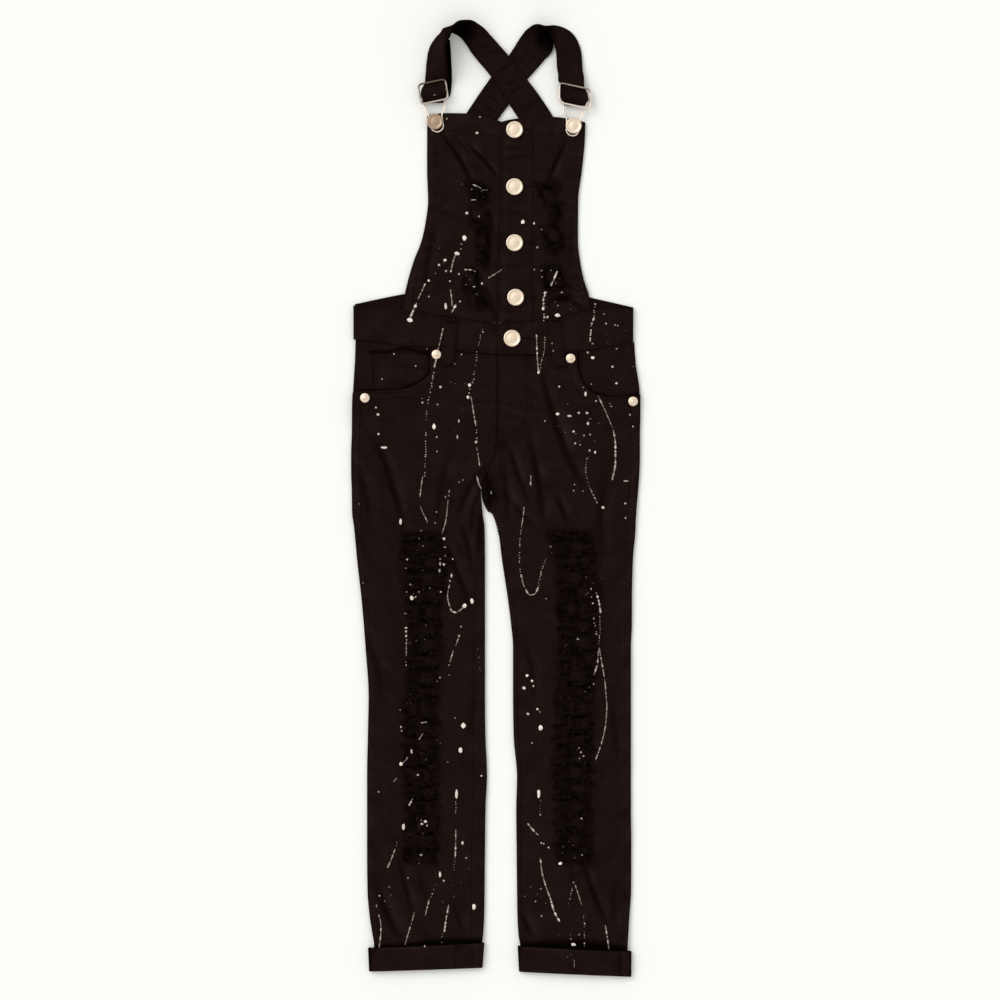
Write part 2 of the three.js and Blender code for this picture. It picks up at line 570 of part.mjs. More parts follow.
// Turn-up: a flattened ring of cloth round the hem
function turnUp(edges, gape) {
  const ring = (edge, puff, inset) => {
    const low = inset;
    const high = TURN_UP.side - inset;
    const radius = (high - low) / 2;
    const [start, end] = [edge.from + inset + radius, edge.to - inset - radius];
    const spots = [];
    for (const part of [0, 0.5, 1]) {
      spots.push([mix(start, end, part), low]);
    }
    for (const angle of [-45, 0, 45]) {
      const turn = THREE.MathUtils.degToRad(angle);
      spots.push([end + radius * Math.cos(turn), low + radius + radius * Math.sin(turn)]);
    }
    for (let part = 1; part >= -0.01; part -= 0.1) {
      spots.push([mix(start, end, part), high + puff * Math.sin(Math.PI * part) ** 0.7]);
    }
    for (const angle of [135, 180, 225]) {
      const turn = THREE.MathUtils.degToRad(angle);
      spots.push([start + radius * Math.cos(turn), low + radius + radius * Math.sin(turn)]);
    }
    return spots.map(([across, height]) => {
      const part = (across - edge.from) / (edge.to - edge.from);
      return place(across, mix(edge.downFrom, edge.downTo, part), height);
    });
  };
  const puffs = TURN_UP_LEVELS.map(({ open }) => TURN_UP.bulge + gape * open);
  const outer = edges.map((edge, i) => ring(edge, puffs[i], 0));
  const inner = edges.map((edge, i) => ring(edge, puffs[i], DENIM));
  return loopBand([...outer, ...inner.reverse()]);
}

function turnUpEdges({ top, bottom }) {
  return TURN_UP_LEVELS.map(({ part }) => Object.fromEntries(
    Object.keys(top).map((name) => [name, mix(top[name], bottom[name], part)]),
  ));
}

const TURN_UP_RIGHT = {
  top: { from: 368, to: 484.4, downFrom: 948, downTo: 943 },
  bottom: { from: 369, to: 482.6, downFrom: 971.4, downTo: 967.6 },
  gape: 1.6,
};
const TURN_UP_LEFT = {
  top: { from: 517.6, to: 631.6, downFrom: 946, downTo: 951.6 },
  bottom: { from: 519, to: 631.4, downFrom: 971.6, downTo: 976.6 },
  gape: 3.2,
};

// Sections listed by their top and bottom edges along a band
function bandSections(stations, top, bottom) {
  return stations.map((across) => ({
    aAcross: across, aDown: top(across), bAcross: across, bDown: bottom(across),
  }));
}

const BIB_RIGHT = table("aAcross aDown bAcross bDown", [
  [428, 100, 526, 100], [427, 131, 526, 134], [427, 150, 526, 152], [427, 170, 526, 171],
  [428, 200, 526, 201], [425.5, 222, 526, 224], [421, 242, 526, 246], [414, 260, 526, 268], [407, 284, 526, 290],
  [404, 300, 526, 308], [403, 330, 526, 330],
]);
const BIB_LEFT = table("aAcross aDown bAcross bDown", [
  [532, 100, 586, 100], [532, 135, 585, 137], [532, 170, 582, 170], [532, 200, 578.3, 200],
  [532, 240, 578, 240], [532, 262, 580.3, 262], [532, 280, 584, 280], [532, 297, 589, 296], [532, 330, 592, 330],
]);
const BIB_PLACKET = table("aAcross aDown bAcross bDown", [
  [501, 100, 531.7, 100], [501, 136, 531.7, 136], [501, 170, 531.7, 170], [500.6, 205, 531.7, 205],
  [499.6, 240, 531.7, 240], [498.6, 275, 531.7, 275], [498, 305, 531.7, 305], [497.6, 330, 531.7, 330],
]);
const BIB_SIDES = {
  right: between(BIB_RIGHT, "aDown", "aAcross"),
  left: between(BIB_LEFT, "bDown", "bAcross"),
};
const FACING_RIGHT = table("aAcross aDown bAcross bDown", [
  [355.9, 335, 436.4, 335], [354.8, 362, 436.4, 362], [353.8, 378, 435, 378], [353.4, 392, 424, 388.6],
  [353.2, 398, 402, 396],
]);
const FACING_LEFT = table("aAcross aDown bAcross bDown", [
  [571, 335, 632.6, 335], [571, 362, 635.4, 362], [574, 378, 638, 378], [581, 392, 639.6, 390],
  [594, 401, 639.8, 400.4],
]);
const COIN_POCKET_RIGHT = table("aAcross aDown bAcross bDown", [
  [375, 352.4, 429.4, 354.4], [375, 366, 429.4, 367], [375, 380, 427, 377], [376, 394, 420, 385.4],
]);
const BELT_LOOP_RIGHT = table("aAcross aDown bAcross bDown", [
  [444.5, 317.4, 457.5, 319.4], [443.4, 330, 456.4, 332], [442.7, 345, 455, 347], [442.2, 356, 454, 358],
  [441.8, 365.4, 453.2, 366.4],
]);
const BELT_LOOP_LEFT = table("aAcross aDown bAcross bDown", [
  [548.6, 318.4, 560, 316.9], [550.4, 334, 562, 332.6], [552, 348, 563.4, 347], [553, 358, 564.6, 357.4],
  [554, 367.6, 566, 367.6],
]);
const BAND_STATIONS = {
  right: [353.4, 370, 387, 404, 421, 438, 455, 470, 484, 497, 512, 527],
  left: [498, 514, 530, 536, 543, 550, 560, 575, 592, 614, 633],
  back: [355, 380, 404, 427, 450, 473, 496, 520, 545, 566, 588, 611, 633.4],
};

// What a belt loop lies on: the waistband, then the top of the leg
function loopHeight(bandUnder, legUnder) {
  return (across, down) => {
    const onBand = bandUnder(across) + BAND;
    const onLeg = legUnder(across, down) + DENIM;
    return Math.max(onBand, ease(down, LOOP_STEP.from, LOOP_STEP.to) * onLeg) + SEAM;
  };
}

const DENIM_LOOK = new THREE.MeshStandardMaterial({ color: 0x1d1412, roughness: 0.9, metalness: 0 });
const METAL_LOOK = new THREE.MeshStandardMaterial({ color: 0xe8d8c4, roughness: 0.35, metalness: 1 });

const garment = new THREE.Group();

function sew(name, geometry, look = DENIM_LOOK) {
  const mesh = new THREE.Mesh(geometry, look.clone());
  mesh.name = name;
  garment.add(mesh);
}

function sewOnto(name, geometry, across, down, height) {
  const spot = place(across, down, height);
  sew(name, geometry.translate(spot.x, spot.y, spot.z), METAL_LOOK);
}

const FRONT_GRID = { pitch: 48, columns: 9 };
const BACK_GRID = { pitch: 60, columns: 4, inset: 0.5 };

function backLeg(hip, leg) {
  const sections = closer(legSections(hip, leg, BACK_GRID.inset), BACK_GRID.pitch);
  return panel(sections, BACK_GRID.columns, backHeight, DENIM, { above: BACK_BAND_BOTTOM });
}

function frontLeg(hip, leg, under) {
  const sections = closer(legSections(hip, leg), FRONT_GRID.pitch);
  return panel(sections, FRONT_GRID.columns, under, DENIM, { above: BAND_BOTTOM });
}

function legs() {
  sew("back_leg_right", backLeg(BACK_RIGHT_HIP, RIGHT_LEG));
  sew("back_leg_left", backLeg(BACK_LEFT_HIP, LEFT_LEG));
  const right = frontLeg(FRONT_RIGHT_HIP, RIGHT_LEG, frontRightHeight);
  const left = frontLeg(FRONT_LEFT_HIP, LEFT_LEG, frontLeftHeight);
  sew("front_leg_right", torn(right, wornStrip(WORN_RIGHT)));
  sew("front_leg_left", torn(left, wornStrip(WORN_LEFT)));
  sew("turn_up_right", turnUp(turnUpEdges(TURN_UP_RIGHT), TURN_UP_RIGHT.gape));
  sew("turn_up_left", turnUp(turnUpEdges(TURN_UP_LEFT), TURN_UP_LEFT.gape));
}

function waist() {
  const back = bandSections(BAND_STATIONS.back, BACK_BAND_TOP, BACK_BAND_BOTTOM);
  const right = bandSections(BAND_STATIONS.right, BAND_TOP, BAND_BOTTOM);
  const left = bandSections(BAND_STATIONS.left, BAND_TOP, BAND_BOTTOM);
  const underRight = flat(FRONT_BAND);
  const loopPitch = 6;
  sew("waistband_back", panel(back, 2, flat(0), BAND));
  sew("waistband_front_right", panel(right, 2, underRight, BAND));
  sew("waistband_front_left", panel(left, 2, upperBandHeight, BAND));
  const [loopRight, loopLeft] = [closer(BELT_LOOP_RIGHT, loopPitch), closer(BELT_LOOP_LEFT, loopPitch)];
  sew("belt_loop_right", panel(loopRight, 2, loopHeight(underRight, frontRightHeight), BAND));
  sew("belt_loop_left", panel(loopLeft, 2, loopHeight(upperBandHeight, frontLeftHeight), BAND));
}

function pockets() {
  const trim = { above: BAND_BOTTOM };
  const pitch = 20;
  sew("pocket_facing_right", panel(closer(FACING_RIGHT, pitch), 4, flat(FACING), DENIM, trim));
  sew("pocket_facing_left", panel(closer(FACING_LEFT, pitch), 4, flat(FACING), DENIM, trim));
  sew("coin_pocket", panel(closer(COIN_POCKET_RIGHT, pitch), 4, flat(COIN_POCKET), DENIM));
  for (const { name, across, down } of RIVETS) {
    const legUnder = across < CHART_MIDDLE.across ? frontRightHeight : frontLeftHeight;
    sewOnto(name, rivet(), across, down, legUnder(across, down) + DENIM + 2 * SEAM);
  }
}

function bib() {
  const trimRight = { above: BIB_TOP_RIGHT, below: BAND_TOP };
  const trimLeft = { above: BIB_TOP_LEFT, below: BAND_TOP };
  const pitch = 22;
  const right = panel(closer(BIB_RIGHT, pitch), 7, bibRightHeight, DENIM, trimRight);
  const left = panel(closer(BIB_LEFT, pitch), 5, bibLeftHeight, DENIM, trimLeft);
  const onRight = (tear) => tear.to < CHART_MIDDLE.across;
  sew("bib_right", torn(right, BIB_RIPS.filter(onRight)));
  sew("bib_left", torn(left, BIB_RIPS.filter((tear) => !onRight(tear))));
  sew("bib_placket", panel(BIB_PLACKET, 2, flat(PLACKET), DENIM, trimLeft));
  FRONT_BUTTONS.forEach(({ across, down }, i) => {
    const onBand = down > BAND_TOP(across);
    const height = onBand ? UPPER_BAND + BAND : PLACKET + DENIM;
    sewOnto(`front_button_${i + 1}`, button(FRONT_BUTTON, FRONT_STEM), across, down, height + SEAM);
  });
}

function straps() {
  for (const side of ["right", "left"]) {
    const buckle = BUCKLES[side];
    const { across, down } = buckle.button;
    const bibUnder = side === "right" ? bibRightHeight : bibLeftHeight;
    const seat = bibUnder(across, down) + DENIM + 2 * SEAM;
    const stem = HOOK_ON_BIB + HOOK.wire / 2 + SEAM - seat;
    sew(`strap_${side}`, strap(side));
    sew(`slide_${side}`, slide(buckle), METAL_LOOK);
    sew(`hook_${side}`, hook(buckle), METAL_LOOK);
    sewOnto(`bib_button_${side}`, button(BIB_BUTTON, stem), across, down, seat);
  }
}

legs();
waist();
pockets();
bib();
straps();

export default garment;
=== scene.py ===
import json
import math
import random

import bmesh
import bpy
import numpy as np
from bpy.props import FloatProperty, FloatVectorProperty, IntProperty, PointerProperty
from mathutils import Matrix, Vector
from mathutils.bvhtree import BVHTree

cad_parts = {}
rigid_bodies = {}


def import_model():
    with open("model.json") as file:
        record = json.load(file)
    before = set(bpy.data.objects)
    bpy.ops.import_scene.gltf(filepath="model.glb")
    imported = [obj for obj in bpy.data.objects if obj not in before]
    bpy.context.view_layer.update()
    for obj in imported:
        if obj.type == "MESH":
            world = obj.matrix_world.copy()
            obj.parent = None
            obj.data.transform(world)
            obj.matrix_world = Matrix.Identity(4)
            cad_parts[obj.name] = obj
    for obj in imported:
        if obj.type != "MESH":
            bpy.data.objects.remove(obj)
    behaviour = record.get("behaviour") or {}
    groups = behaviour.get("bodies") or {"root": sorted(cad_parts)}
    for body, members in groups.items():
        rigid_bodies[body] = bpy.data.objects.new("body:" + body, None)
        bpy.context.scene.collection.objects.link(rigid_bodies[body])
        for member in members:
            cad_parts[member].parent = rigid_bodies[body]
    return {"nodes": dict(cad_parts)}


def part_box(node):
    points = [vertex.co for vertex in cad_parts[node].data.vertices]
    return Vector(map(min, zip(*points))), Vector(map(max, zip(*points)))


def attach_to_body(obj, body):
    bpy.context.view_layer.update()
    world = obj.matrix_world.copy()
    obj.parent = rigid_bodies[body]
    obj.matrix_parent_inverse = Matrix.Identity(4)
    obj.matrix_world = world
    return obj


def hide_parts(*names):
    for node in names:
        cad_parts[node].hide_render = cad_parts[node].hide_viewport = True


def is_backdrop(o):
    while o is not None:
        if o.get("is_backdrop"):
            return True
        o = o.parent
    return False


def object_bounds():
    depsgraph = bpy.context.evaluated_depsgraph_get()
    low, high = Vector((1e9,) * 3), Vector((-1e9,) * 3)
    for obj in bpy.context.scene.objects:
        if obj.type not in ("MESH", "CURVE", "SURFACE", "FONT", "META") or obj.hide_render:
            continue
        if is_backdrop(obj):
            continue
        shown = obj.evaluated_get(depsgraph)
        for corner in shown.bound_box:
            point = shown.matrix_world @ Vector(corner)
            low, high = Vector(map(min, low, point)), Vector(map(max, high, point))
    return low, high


bl_info = {
    "name": "Paint-Spattered Dungarees",
    "version": (1, 0, 0),
    "blender": (4, 5, 0),
    "location": "View3D > Sidebar > Dungarees",
    "description": "Sews, rips, buttons and spatters a child's denim dungarees laid flat",
    "category": "Object",
}

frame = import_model()
CAD_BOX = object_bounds()

# Places are charted in millimetres across and down the garment, as it lies
MM = 0.001
MIDDLE = (495.75, 497.8)
SEAM = 0.3
SIDES = ("right", "left")  # the wearer's
CAMERA_SPOT, CAMERA_HEIGHT = (500, 500), 2781.8

# Sizes of cloth, straps, buckles, buttons and thread in millimetres
DENIM, BAND, WEB = 1.2, 1.8, 2.0
STRAP_WIDTH = 26.0
TAIL = WEB / 2
HOOK_WIRE, SLIDE_WIRE = 1.6, 2.2
HOOK_BAR = WEB + SEAM + HOOK_WIRE / 2
FOLD_RADIUS = HOOK_BAR - TAIL
STRAP_AT_BUCKLE = HOOK_BAR + FOLD_RADIUS
SLIDE_HEIGHT = STRAP_AT_BUCKLE + WEB / 2 + SEAM + SLIDE_WIRE / 2
OVER_BAR = SLIDE_HEIGHT + SLIDE_WIRE / 2 + SEAM + WEB / 2 - STRAP_AT_BUCKLE
CROSSING = TAIL + WEB + SEAM
HOOK_ON_BIB = 4.7
FOLD_HALF, STRAP_HALF = 10.2, STRAP_WIDTH / 2
SLIDE_TALL, SLIDE_CORNER, SLIDE_RUBBED = 20, 3.2, 0.88  # rubbed is the share of the wire that is left
HOOK_WIDTH, HOOK_CORNER = 22.8, 0.9
THROAT_RADIUS, THROAT_DROP = 6.2, 3.0
HOOK_NECK = [(9.4, 13.8), (6.8, 7.6)]  # aside and up from the button's middle
SLIDE_ROOM = 1.2  # from a slide's side to the strap inside it
BUCKLE_ROWS = (-5.6, 13, 1.9)  # the strap's rows up through the slide: from, to and spacing
STRAP_WIDENS = (-8, -4, 6, 12)  # where the strap changes width there
STRAP_STEP, STRAP_COLUMNS = 1.3, 17  # spacing of a strap's mesh rows, and places across it
FRONT_BUTTON, BIB_BUTTON, RIVET = 17, 16, 9.5  # diameters
FRONT_STEM, SHANK, RIM = 0.9, 3, 1.1  # height under a front button's head, radii of shank and rolled rim
STITCH, STITCH_SHARE = 0.8, 0.72  # thickness of a stitch, and its share of the pitch
TACK, TACK_PITCH = (3.2, 0.7), 0.8  # a bar tack's stitches, long and thick, and their spacing
HOLE_STITCH, HOLE_PITCH, HOLE_HALF = (1.3, 0.6), 1.0, 0.7  # the same for a buttonhole, and half its width
STRAP_SEAMS, STRAP_SEAM_ROW, BIB_LEVEL = (0.11, 0.89), 12, 113  # shares of width, first row, last place down

# Fineness of the meshes
TRIALS = 900  # sections tried down a panel
SPIN_STEPS, WIRE_PLACES, WIRE_SIDES, YARN_SIDES, DROP_SIDES = 48, 120, 12, 3, 12

# Stage and measuring lines, in metres
LINE_TOP = 0.1  # height from which lines are dropped onto the cloth
BESIDE_HEIGHT, BESIDE_REACH = 0.006, 0.005  # from where, and how far, cloth beside a rip is looked for
FLOOR_HALF, FLOOR_DROP = 8, 0.0004
KEY_PLACE, KEY_SPREAD = (-1.5, 1.1, 1.7), 38  # spread in degrees
FILL_COLOUR = (1, 1, 0.985, 1)

# Sewn edges: width, rise and puckering
HEMS = {
    "outseam": (8.6, 0.45, 0.11), "inseam": (4.2, 0.3, 0.11), "band": (3.2, 0.1, 0.11),
    "coin": (9, 0.3, 0.11), "bib_side": (8, 0.4, 0.2), "bib_top": (15, 0.45, 0.16),
}

# Seeds of what falls by chance in each piece
SEEDS = {
    "back_band": 3, "leg_rips": 20, "outseam": 30, "inseam": 40, "fuzz": 50, "leg": 60, "turn_up": 70,
    "band": 80, "facing": 90, "coin": 95, "bib_rips": 100, "bib": 110, "placket": 120, "strip": 201,
    "weft": 210, "pocket_shade_blotches": 230,
}
INSEAM_START = (440, 470)  # where the inside seam begins, down the leg
FLY_SHADE, FLY_END = 0.38, (432, 450)  # how dark the fly's edge is, and where that fades out

# Edges as (across, down)
BIB_TOP = {
    "right": [(428, 114.3), (445, 112.6), (466, 113), (485, 116.6), (497, 119.8), (502, 121.6), (526, 124)],
    "left": [(500, 121.8), (504, 121), (510, 119.4), (520, 118), (553, 116.5), (570, 118.5), (586, 122)],
}
BAND_TOP = [(353, 305), (404, 310), (455, 318), (500, 323), (560, 316), (592, 310), (636, 308)]
BAND_BOTTOM = [(355, 340), (437, 349), (497, 354), (545, 355), (590, 350), (633, 342)]
BACK_BAND_TOP = [(353, 304), (404, 293.5), (450, 286), (496, 283), (545, 287), (588, 296.5), (636, 307.5)]
BACK_BAND_BOTTOM = [(355, 339.5), (404, 331), (450, 325), (496, 323), (545, 326), (588, 333), (634, 341.5)]

# Sections of each panel, from one edge to the other: across, down, across, down
FRONT_HIP = {
    "right": [
        (430, 345, 496.8, 345), (430, 361, 496.8, 362), (430, 372, 496.8, 372), (421, 382, 496.8, 383),
        (399, 390, 496.8, 395), (371, 391.3, 496.8, 407), (353, 392, 496.8, 419), (352, 410, 496.8, 432),
        (351.7, 432, 496.2, 444), (351, 455, 493.5, 457), (351, 472, 489, 470), (351.6, 490, 480.8, 490),
    ],
    "left": [
        (577, 345, 497.2, 345), (577, 362, 497.2, 362), (579, 374, 497.2, 372), (583, 384, 497.2, 383),
        (595, 394, 497.2, 395), (611, 397.5, 497.2, 407), (627, 396.3, 497.2, 417),
        (640.5, 394.5, 497.2, 427), (640.5, 412, 497.2, 436), (640, 438, 496.5, 445),
        (640, 456, 493.9, 457), (639.4, 474, 489.4, 470), (638.2, 491, 481.2, 490), (637, 505, 485.4, 503),
    ],
}
MOUTH_ROWS = {"right": 7, "left": 8}  # sections whose first edge is the pocket mouth
BACK_HIP = {
    "right": [
        (356, 320, 492.8, 320), (354.6, 365, 492.8, 352), (352.8, 395, 492.8, 388),
        (352.4, 432, 492.4, 430), (351.8, 462, 488.4, 462), (352.4, 490, 480.8, 490),
    ],
    "left": [
        (633, 320, 493.2, 320), (636, 365, 493.2, 352), (639.8, 398, 493.2, 388), (639.4, 432, 492.8, 430),
        (639.4, 462, 488.8, 462), (637.6, 490, 481.2, 490),
    ],
}
LEG = {  # down, outside seam, inside seam
    "right": [
        (512, 352, 482.4), (528, 354, 484.6), (560, 357, 485), (600, 361.5, 485), (648, 365.5, 485),
        (696, 368.5, 485), (735, 367.8, 485.4), (775, 367, 487), (810, 367, 485.5), (850, 367, 485),
        (890, 367.4, 484.6), (915, 369.4, 484.2), (932, 372, 483.4), (944, 374, 482), (965, 374.4, 480.2),
    ],
    "left": [
        (511.4, 636.4, 487.8), (513, 636.4, 491.4), (518, 636, 494), (530, 635.6, 498), (560, 633, 502),
        (600, 632, 508), (624, 632, 511), (648, 631, 513), (696, 631, 513), (735, 631, 513.6),
        (778, 631, 517), (810, 631, 516.2), (850, 631.4, 516.6), (890, 631.2, 517), (915, 629.6, 517.4),
        (934, 628.4, 518.4), (948, 627.6, 520.4), (969, 627.4, 521),
    ],
}
BIB = {
    "right": [
        (428, 100, 526, 100), (427, 131, 526, 134), (427, 150, 526, 152), (427, 170, 526, 171),
        (428, 200, 526, 201), (425.5, 222, 526, 224), (421, 242, 526, 246), (414, 260, 526, 268),
        (407, 284, 526, 290), (404, 300, 526, 308), (403, 330, 526, 330),
    ],
    "left": [
        (532, 100, 586, 100), (532, 135, 585, 137), (532, 170, 582, 170), (532, 200, 578.3, 200),
        (532, 240, 578, 240), (532, 262, 580.3, 262), (532, 280, 584, 280), (532, 297, 589, 296),
        (532, 330, 592, 330),
    ],
}
PLACKET_SEAM = 531.95
PLACKET_EDGE = [
    (501, 100), (501, 136), (501, 170), (500.6, 205), (499.6, 240), (498.6, 275), (498, 305), (497.6, 330),
]
PLACKET = [(across, down, PLACKET_SEAM, down) for across, down in PLACKET_EDGE]
FACING = {
    "right": [
        (355.9, 335, 436.4, 335), (354.8, 362, 436.4, 362), (353.8, 378, 435, 378),
        (353.4, 392, 424, 388.6), (353.2, 398, 402, 396),
    ],
    "left": [
        (571, 335, 632.6, 335), (571, 362, 635.4, 362), (574, 378, 638, 378), (581, 392, 639.6, 390),
        (594, 401, 639.8, 400.4),
    ],
}
POCKET_GAP_SHADE = [  # painted shade along the gaps where the facing stands off the waistband: places, width and strength
    ([(371, 352), (388, 352.4), (397, 349.4), (405, 348), (412, 350), (422, 352), (431, 353)], 1.9, 0.95),
    ([(420, 351.4), (432, 354)], 2.4, 0.95), ([(373, 354), (373.6, 388)], 0.8, 0.4),
]
COIN_POCKET = [
    (375, 352.4, 429.4, 354.4), (375, 366, 429.4, 367), (375, 380, 427, 377), (376, 394, 420, 385.4),
]
BELT_LOOP = {
    "right": [
        (444.5, 317.4, 457.5, 319.4), (443.4, 330, 456.4, 332), (442.7, 345, 455, 347),
        (442.2, 356, 454, 358), (441.8, 365.4, 453.2, 366.4),
    ],
    "left": [
        (548.6, 318.4, 560, 316.9), (550.4, 334, 562, 332.6), (552, 348, 563.4, 347),
        (553, 358, 564.6, 357.4), (554, 367.6, 566, 367.6),
    ],
}
BAND_REACH = {"right": (353.4, 527), "left": (498, 633), "back": (355, 633.4)}

# Straps beyond the buckle: lying edge, raised edge, and the lying edge's height where it is off the floor
STRAP = {
    "right": [
        (425.4, 76, 450, 70, 5), (426.2, 71, 448.6, 65, 4.5), (426.6, 65.4, 446.4, 60, 4),
        (427.4, 60, 445.2, 55, 3.7), (428.4, 53, 444.6, 49.6, 3.5), (430.5, 46.5, 444.8, 44.6, 3.3),
        (434, 40.4, 447, 40, 2.4), (438.6, 35, 449.6, 35, 1.6), (445.4, 31.8, 451.4, 30, 1.2),
        (452, 31.6, 454.6, 24), (456.6, 33.4, 460.6, 20.2), (460.4, 36, 470.4, 19.8),
        (463.6, 39.6, 479, 24.2), (467, 44.6, 485.4, 29), (471, 51.4, 491, 35, 1.2),
        (478, 60.4, 498.6, 43.8, 2.4), (484.6, 68, 505.4, 51.4, CROSSING), (498, 85.4, 519, 69, CROSSING),
        (509, 103.4, 532.8, 86.2, CROSSING), (520.6, 120.4, 545.2, 103.8), (529, 130.3, 553.4, 117.6),
        (532.8, 141.1, 558.2, 134.9), (533.9, 156.7, 560, 155.3), (534, 220, 560, 220),
        (534, 285, 560, 288.8),
    ],
    "left": [
        (584.2, 78, 558.2, 74.6, 4.4), (582.6, 69, 557, 66.4, 3), (582, 60, 556.8, 58.8, 1.8),
        (581, 51, 556.4, 51.4), (578.4, 43, 554.6, 45), (574.6, 36, 552, 40), (568, 30, 549.6, 34.4),
        (559.4, 26.4, 547, 30.4), (552.6, 25.4, 544.4, 27), (548.8, 27, 541, 24.8),
        (549.4, 32.4, 536.6, 24.2), (551.6, 39.4, 532, 25.4), (553.4, 46.4, 527.4, 28.4),
        (551.4, 52, 523, 33.4), (545.4, 58.4, 518.8, 39.4), (539.4, 65.4, 513.6, 47.8),
        (531, 74.8, 507.4, 57), (520, 86.4, 497.4, 68.4), (509, 103.6, 484.2, 86.4),
        (499, 117.4, 474, 101.4), (490, 130.4, 464, 117.6), (484.2, 141.1, 458.8, 134.9),
        (483, 156.7, 456.9, 155.3), (483, 220, 457, 220), (483, 283.4, 457, 285.1),
    ],
}
STRAP_TAIL = {
    "right": [
        (433, 43, 449.2, 39), (430, 52, 450.4, 51), (428, 62, 451, 62), (426.6, 78, 451.8, 78),
        (425, 89, 451.2, 89), (423.8, 95.4, 449.8, 95.4),
    ],
    "left": [(583.4, 84, 562, 84), (586.4, 94, 562.4, 94)],
}
TAIL_TILT = 0.6
SHOULDER_BULGE = ((447.6, 30), 10, (-5, -2.6))  # where a strap swells as it turns: place, reach and push
STRAP_SHADE = {  # insides of the shoulder loops: middle, half width, half height and strength
    "right": [(463, 30, 13, 10, 1), (449.6, 66, 3.4, 34, 1)],
    "left": [(544.6, 36, 9, 13, 1), (549.4, 44, 5, 7, 1)],
}
BUCKLE = {  # slide, strap inside it, hook and button; the darkening pair is painted reflection of the dark strap on the slide's sides and on its top
    "right": {
        "across": 433, "down": 91, "half": 13.8, "tilt": 12, "lean": 0.7, "dull": (0.45, 1),
        "lying": -1, "strap_half": 13, "slant": 0.33, "fold": -8.4, "throat": 2, "button": (435, 122),
    },
    "left": {
        "across": 575, "down": 95.2, "half": 15.5, "tilt": -12, "lean": 0, "dull": (0.05, 0.68),
        "lying": 1, "strap_half": 13.6, "slant": 0.25, "fold": -6.8, "throat": -0.8, "button": (573.5, 126),
    },
}
FRONT_BUTTONS = [(514.5, 130), (514.5, 187), (514.5, 243), (515.5, 297.5), (512, 338.5)]
RIVETS = {
    "rivet_right_waist": (436.4, 354.6), "rivet_right_side": (365, 398),
    "rivet_left_waist": (570.6, 358.4), "rivet_left_side": (633, 401.4),
}
TURN_UP = {  # top, then bottom: across from and to, down at each; then how far the top gapes
    "right": ((368, 484.4, 948, 943), (369, 482.6, 971.4, 967.6), 1.6),
    "left": ((517.6, 631.6, 946, 951.6), (519, 631.4, 971.6, 976.6), 3.2),
}
TURN_UP_EDGE = {
    "right": [(368, 948), (395, 947), (415, 945.6), (440, 944), (484, 943)],
    "left": [(517, 946), (560, 948.4), (632, 952)],
}
TURN_UP_GAP_SHADE = {"right": (452, 34, 3.4), "left": (580, 46, 8)}  # painted shadow on the leg over the turn-up's edge: middle, half width, depth
TURN_UP_SHADE = {  # upright dark lines: across, half width and strength
    "right": [(369.4, 2.2, 0.85), (455, 1, 0.4)],
    "left": [(620, 1.2, 0.6), (630.4, 1.6, 0.5), (519, 1.6, 0.7)],
}
TURN_UP_SIDE, TURN_UP_BULGE = 5.9, 1.4
TURN_UP_DEPTH = 0.026  # in metres
TURN_UP_ROWS, TURN_UP_OVER, TURN_UP_ENDS = 17, 72, 9  # places down it, over it and round each end
TURN_UP_OPEN = ((0, 0.33, 0.67, 1), (1, 0.6, 0.15, 0))  # how far the gape runs down the turn-up
LEG_SHADE = [  # painted shade in soft dark pits: middle, half width, half height and strength
    (486, 478, 3, 8, 0.95), (485, 492, 3, 9, 0.95), (493.6, 495.6, 2.6, 4.6, 0.95),
    (489, 501.6, 4, 4.6, 0.92), (487.6, 486, 6, 10, 0.95), (491, 495, 7, 8, 0.97), (502, 444, 5, 6, 0.55),
    (480, 526, 3.6, 30, 0.75), (408, 539, 8, 5, 0.75), (430, 539.4, 5.4, 3.6, 0.85),
    (418, 621, 2.4, 18, 0.45), (435, 606, 5, 5, 0.4), (571, 538, 18, 4.6, 0.7), (560, 612, 3, 22, 0.4),
    (580, 652, 9, 5, 0.5), (574, 690, 10, 5, 0.5), (411, 690, 6, 8, 0.5), (434, 700, 5, 7, 0.45),
    (424, 762, 9, 6, 0.5), (575, 742, 10, 5, 0.45), (562, 800, 4, 12, 0.45), (410, 810, 5, 8, 0.45),
    (577, 846, 9, 4, 0.5),
]

# Rips: the worn strip of each leg as (down, from, to), and the bib's tears as (from, to, down, gape)
WORN = {
    "right": [
        (538, 401, 445), (558, 400, 453), (578, 402, 449), (600, 405, 445), (640, 409, 443),
        (700, 404, 440), (760, 403, 441), (800, 405, 441), (858, 404, 441),
    ],
    "left": [
        (536, 549, 595), (573, 557, 599), (593, 558, 603), (610, 556, 599), (640, 560, 599),
        (700, 556, 596), (760, 553, 595), (810, 555, 595), (858, 556, 594),
    ],
}
RIP_PITCH = 16.4
RIP_GAPES = (5.6, 4.4, 6, 4, 5, 6.2, 4.6)
RIP_SHIFTS = (0, 2.2, -1.6, 1, -2.4, 0.6)
RIP_UPPER = ((0, 0.22, 0.6, 1), (0, 0.86, 1, 0.04))
RIP_LOWER = ((0, 0.3, 0.74, 1), (0, 1, 0.9, 0.04))
RIP_REACH, LIP_RISE = 9, 0.35  # mesh rows that give way to a rip, and how far its lips stand up
FIBRES = 420  # worn weft lying on each leg's strip
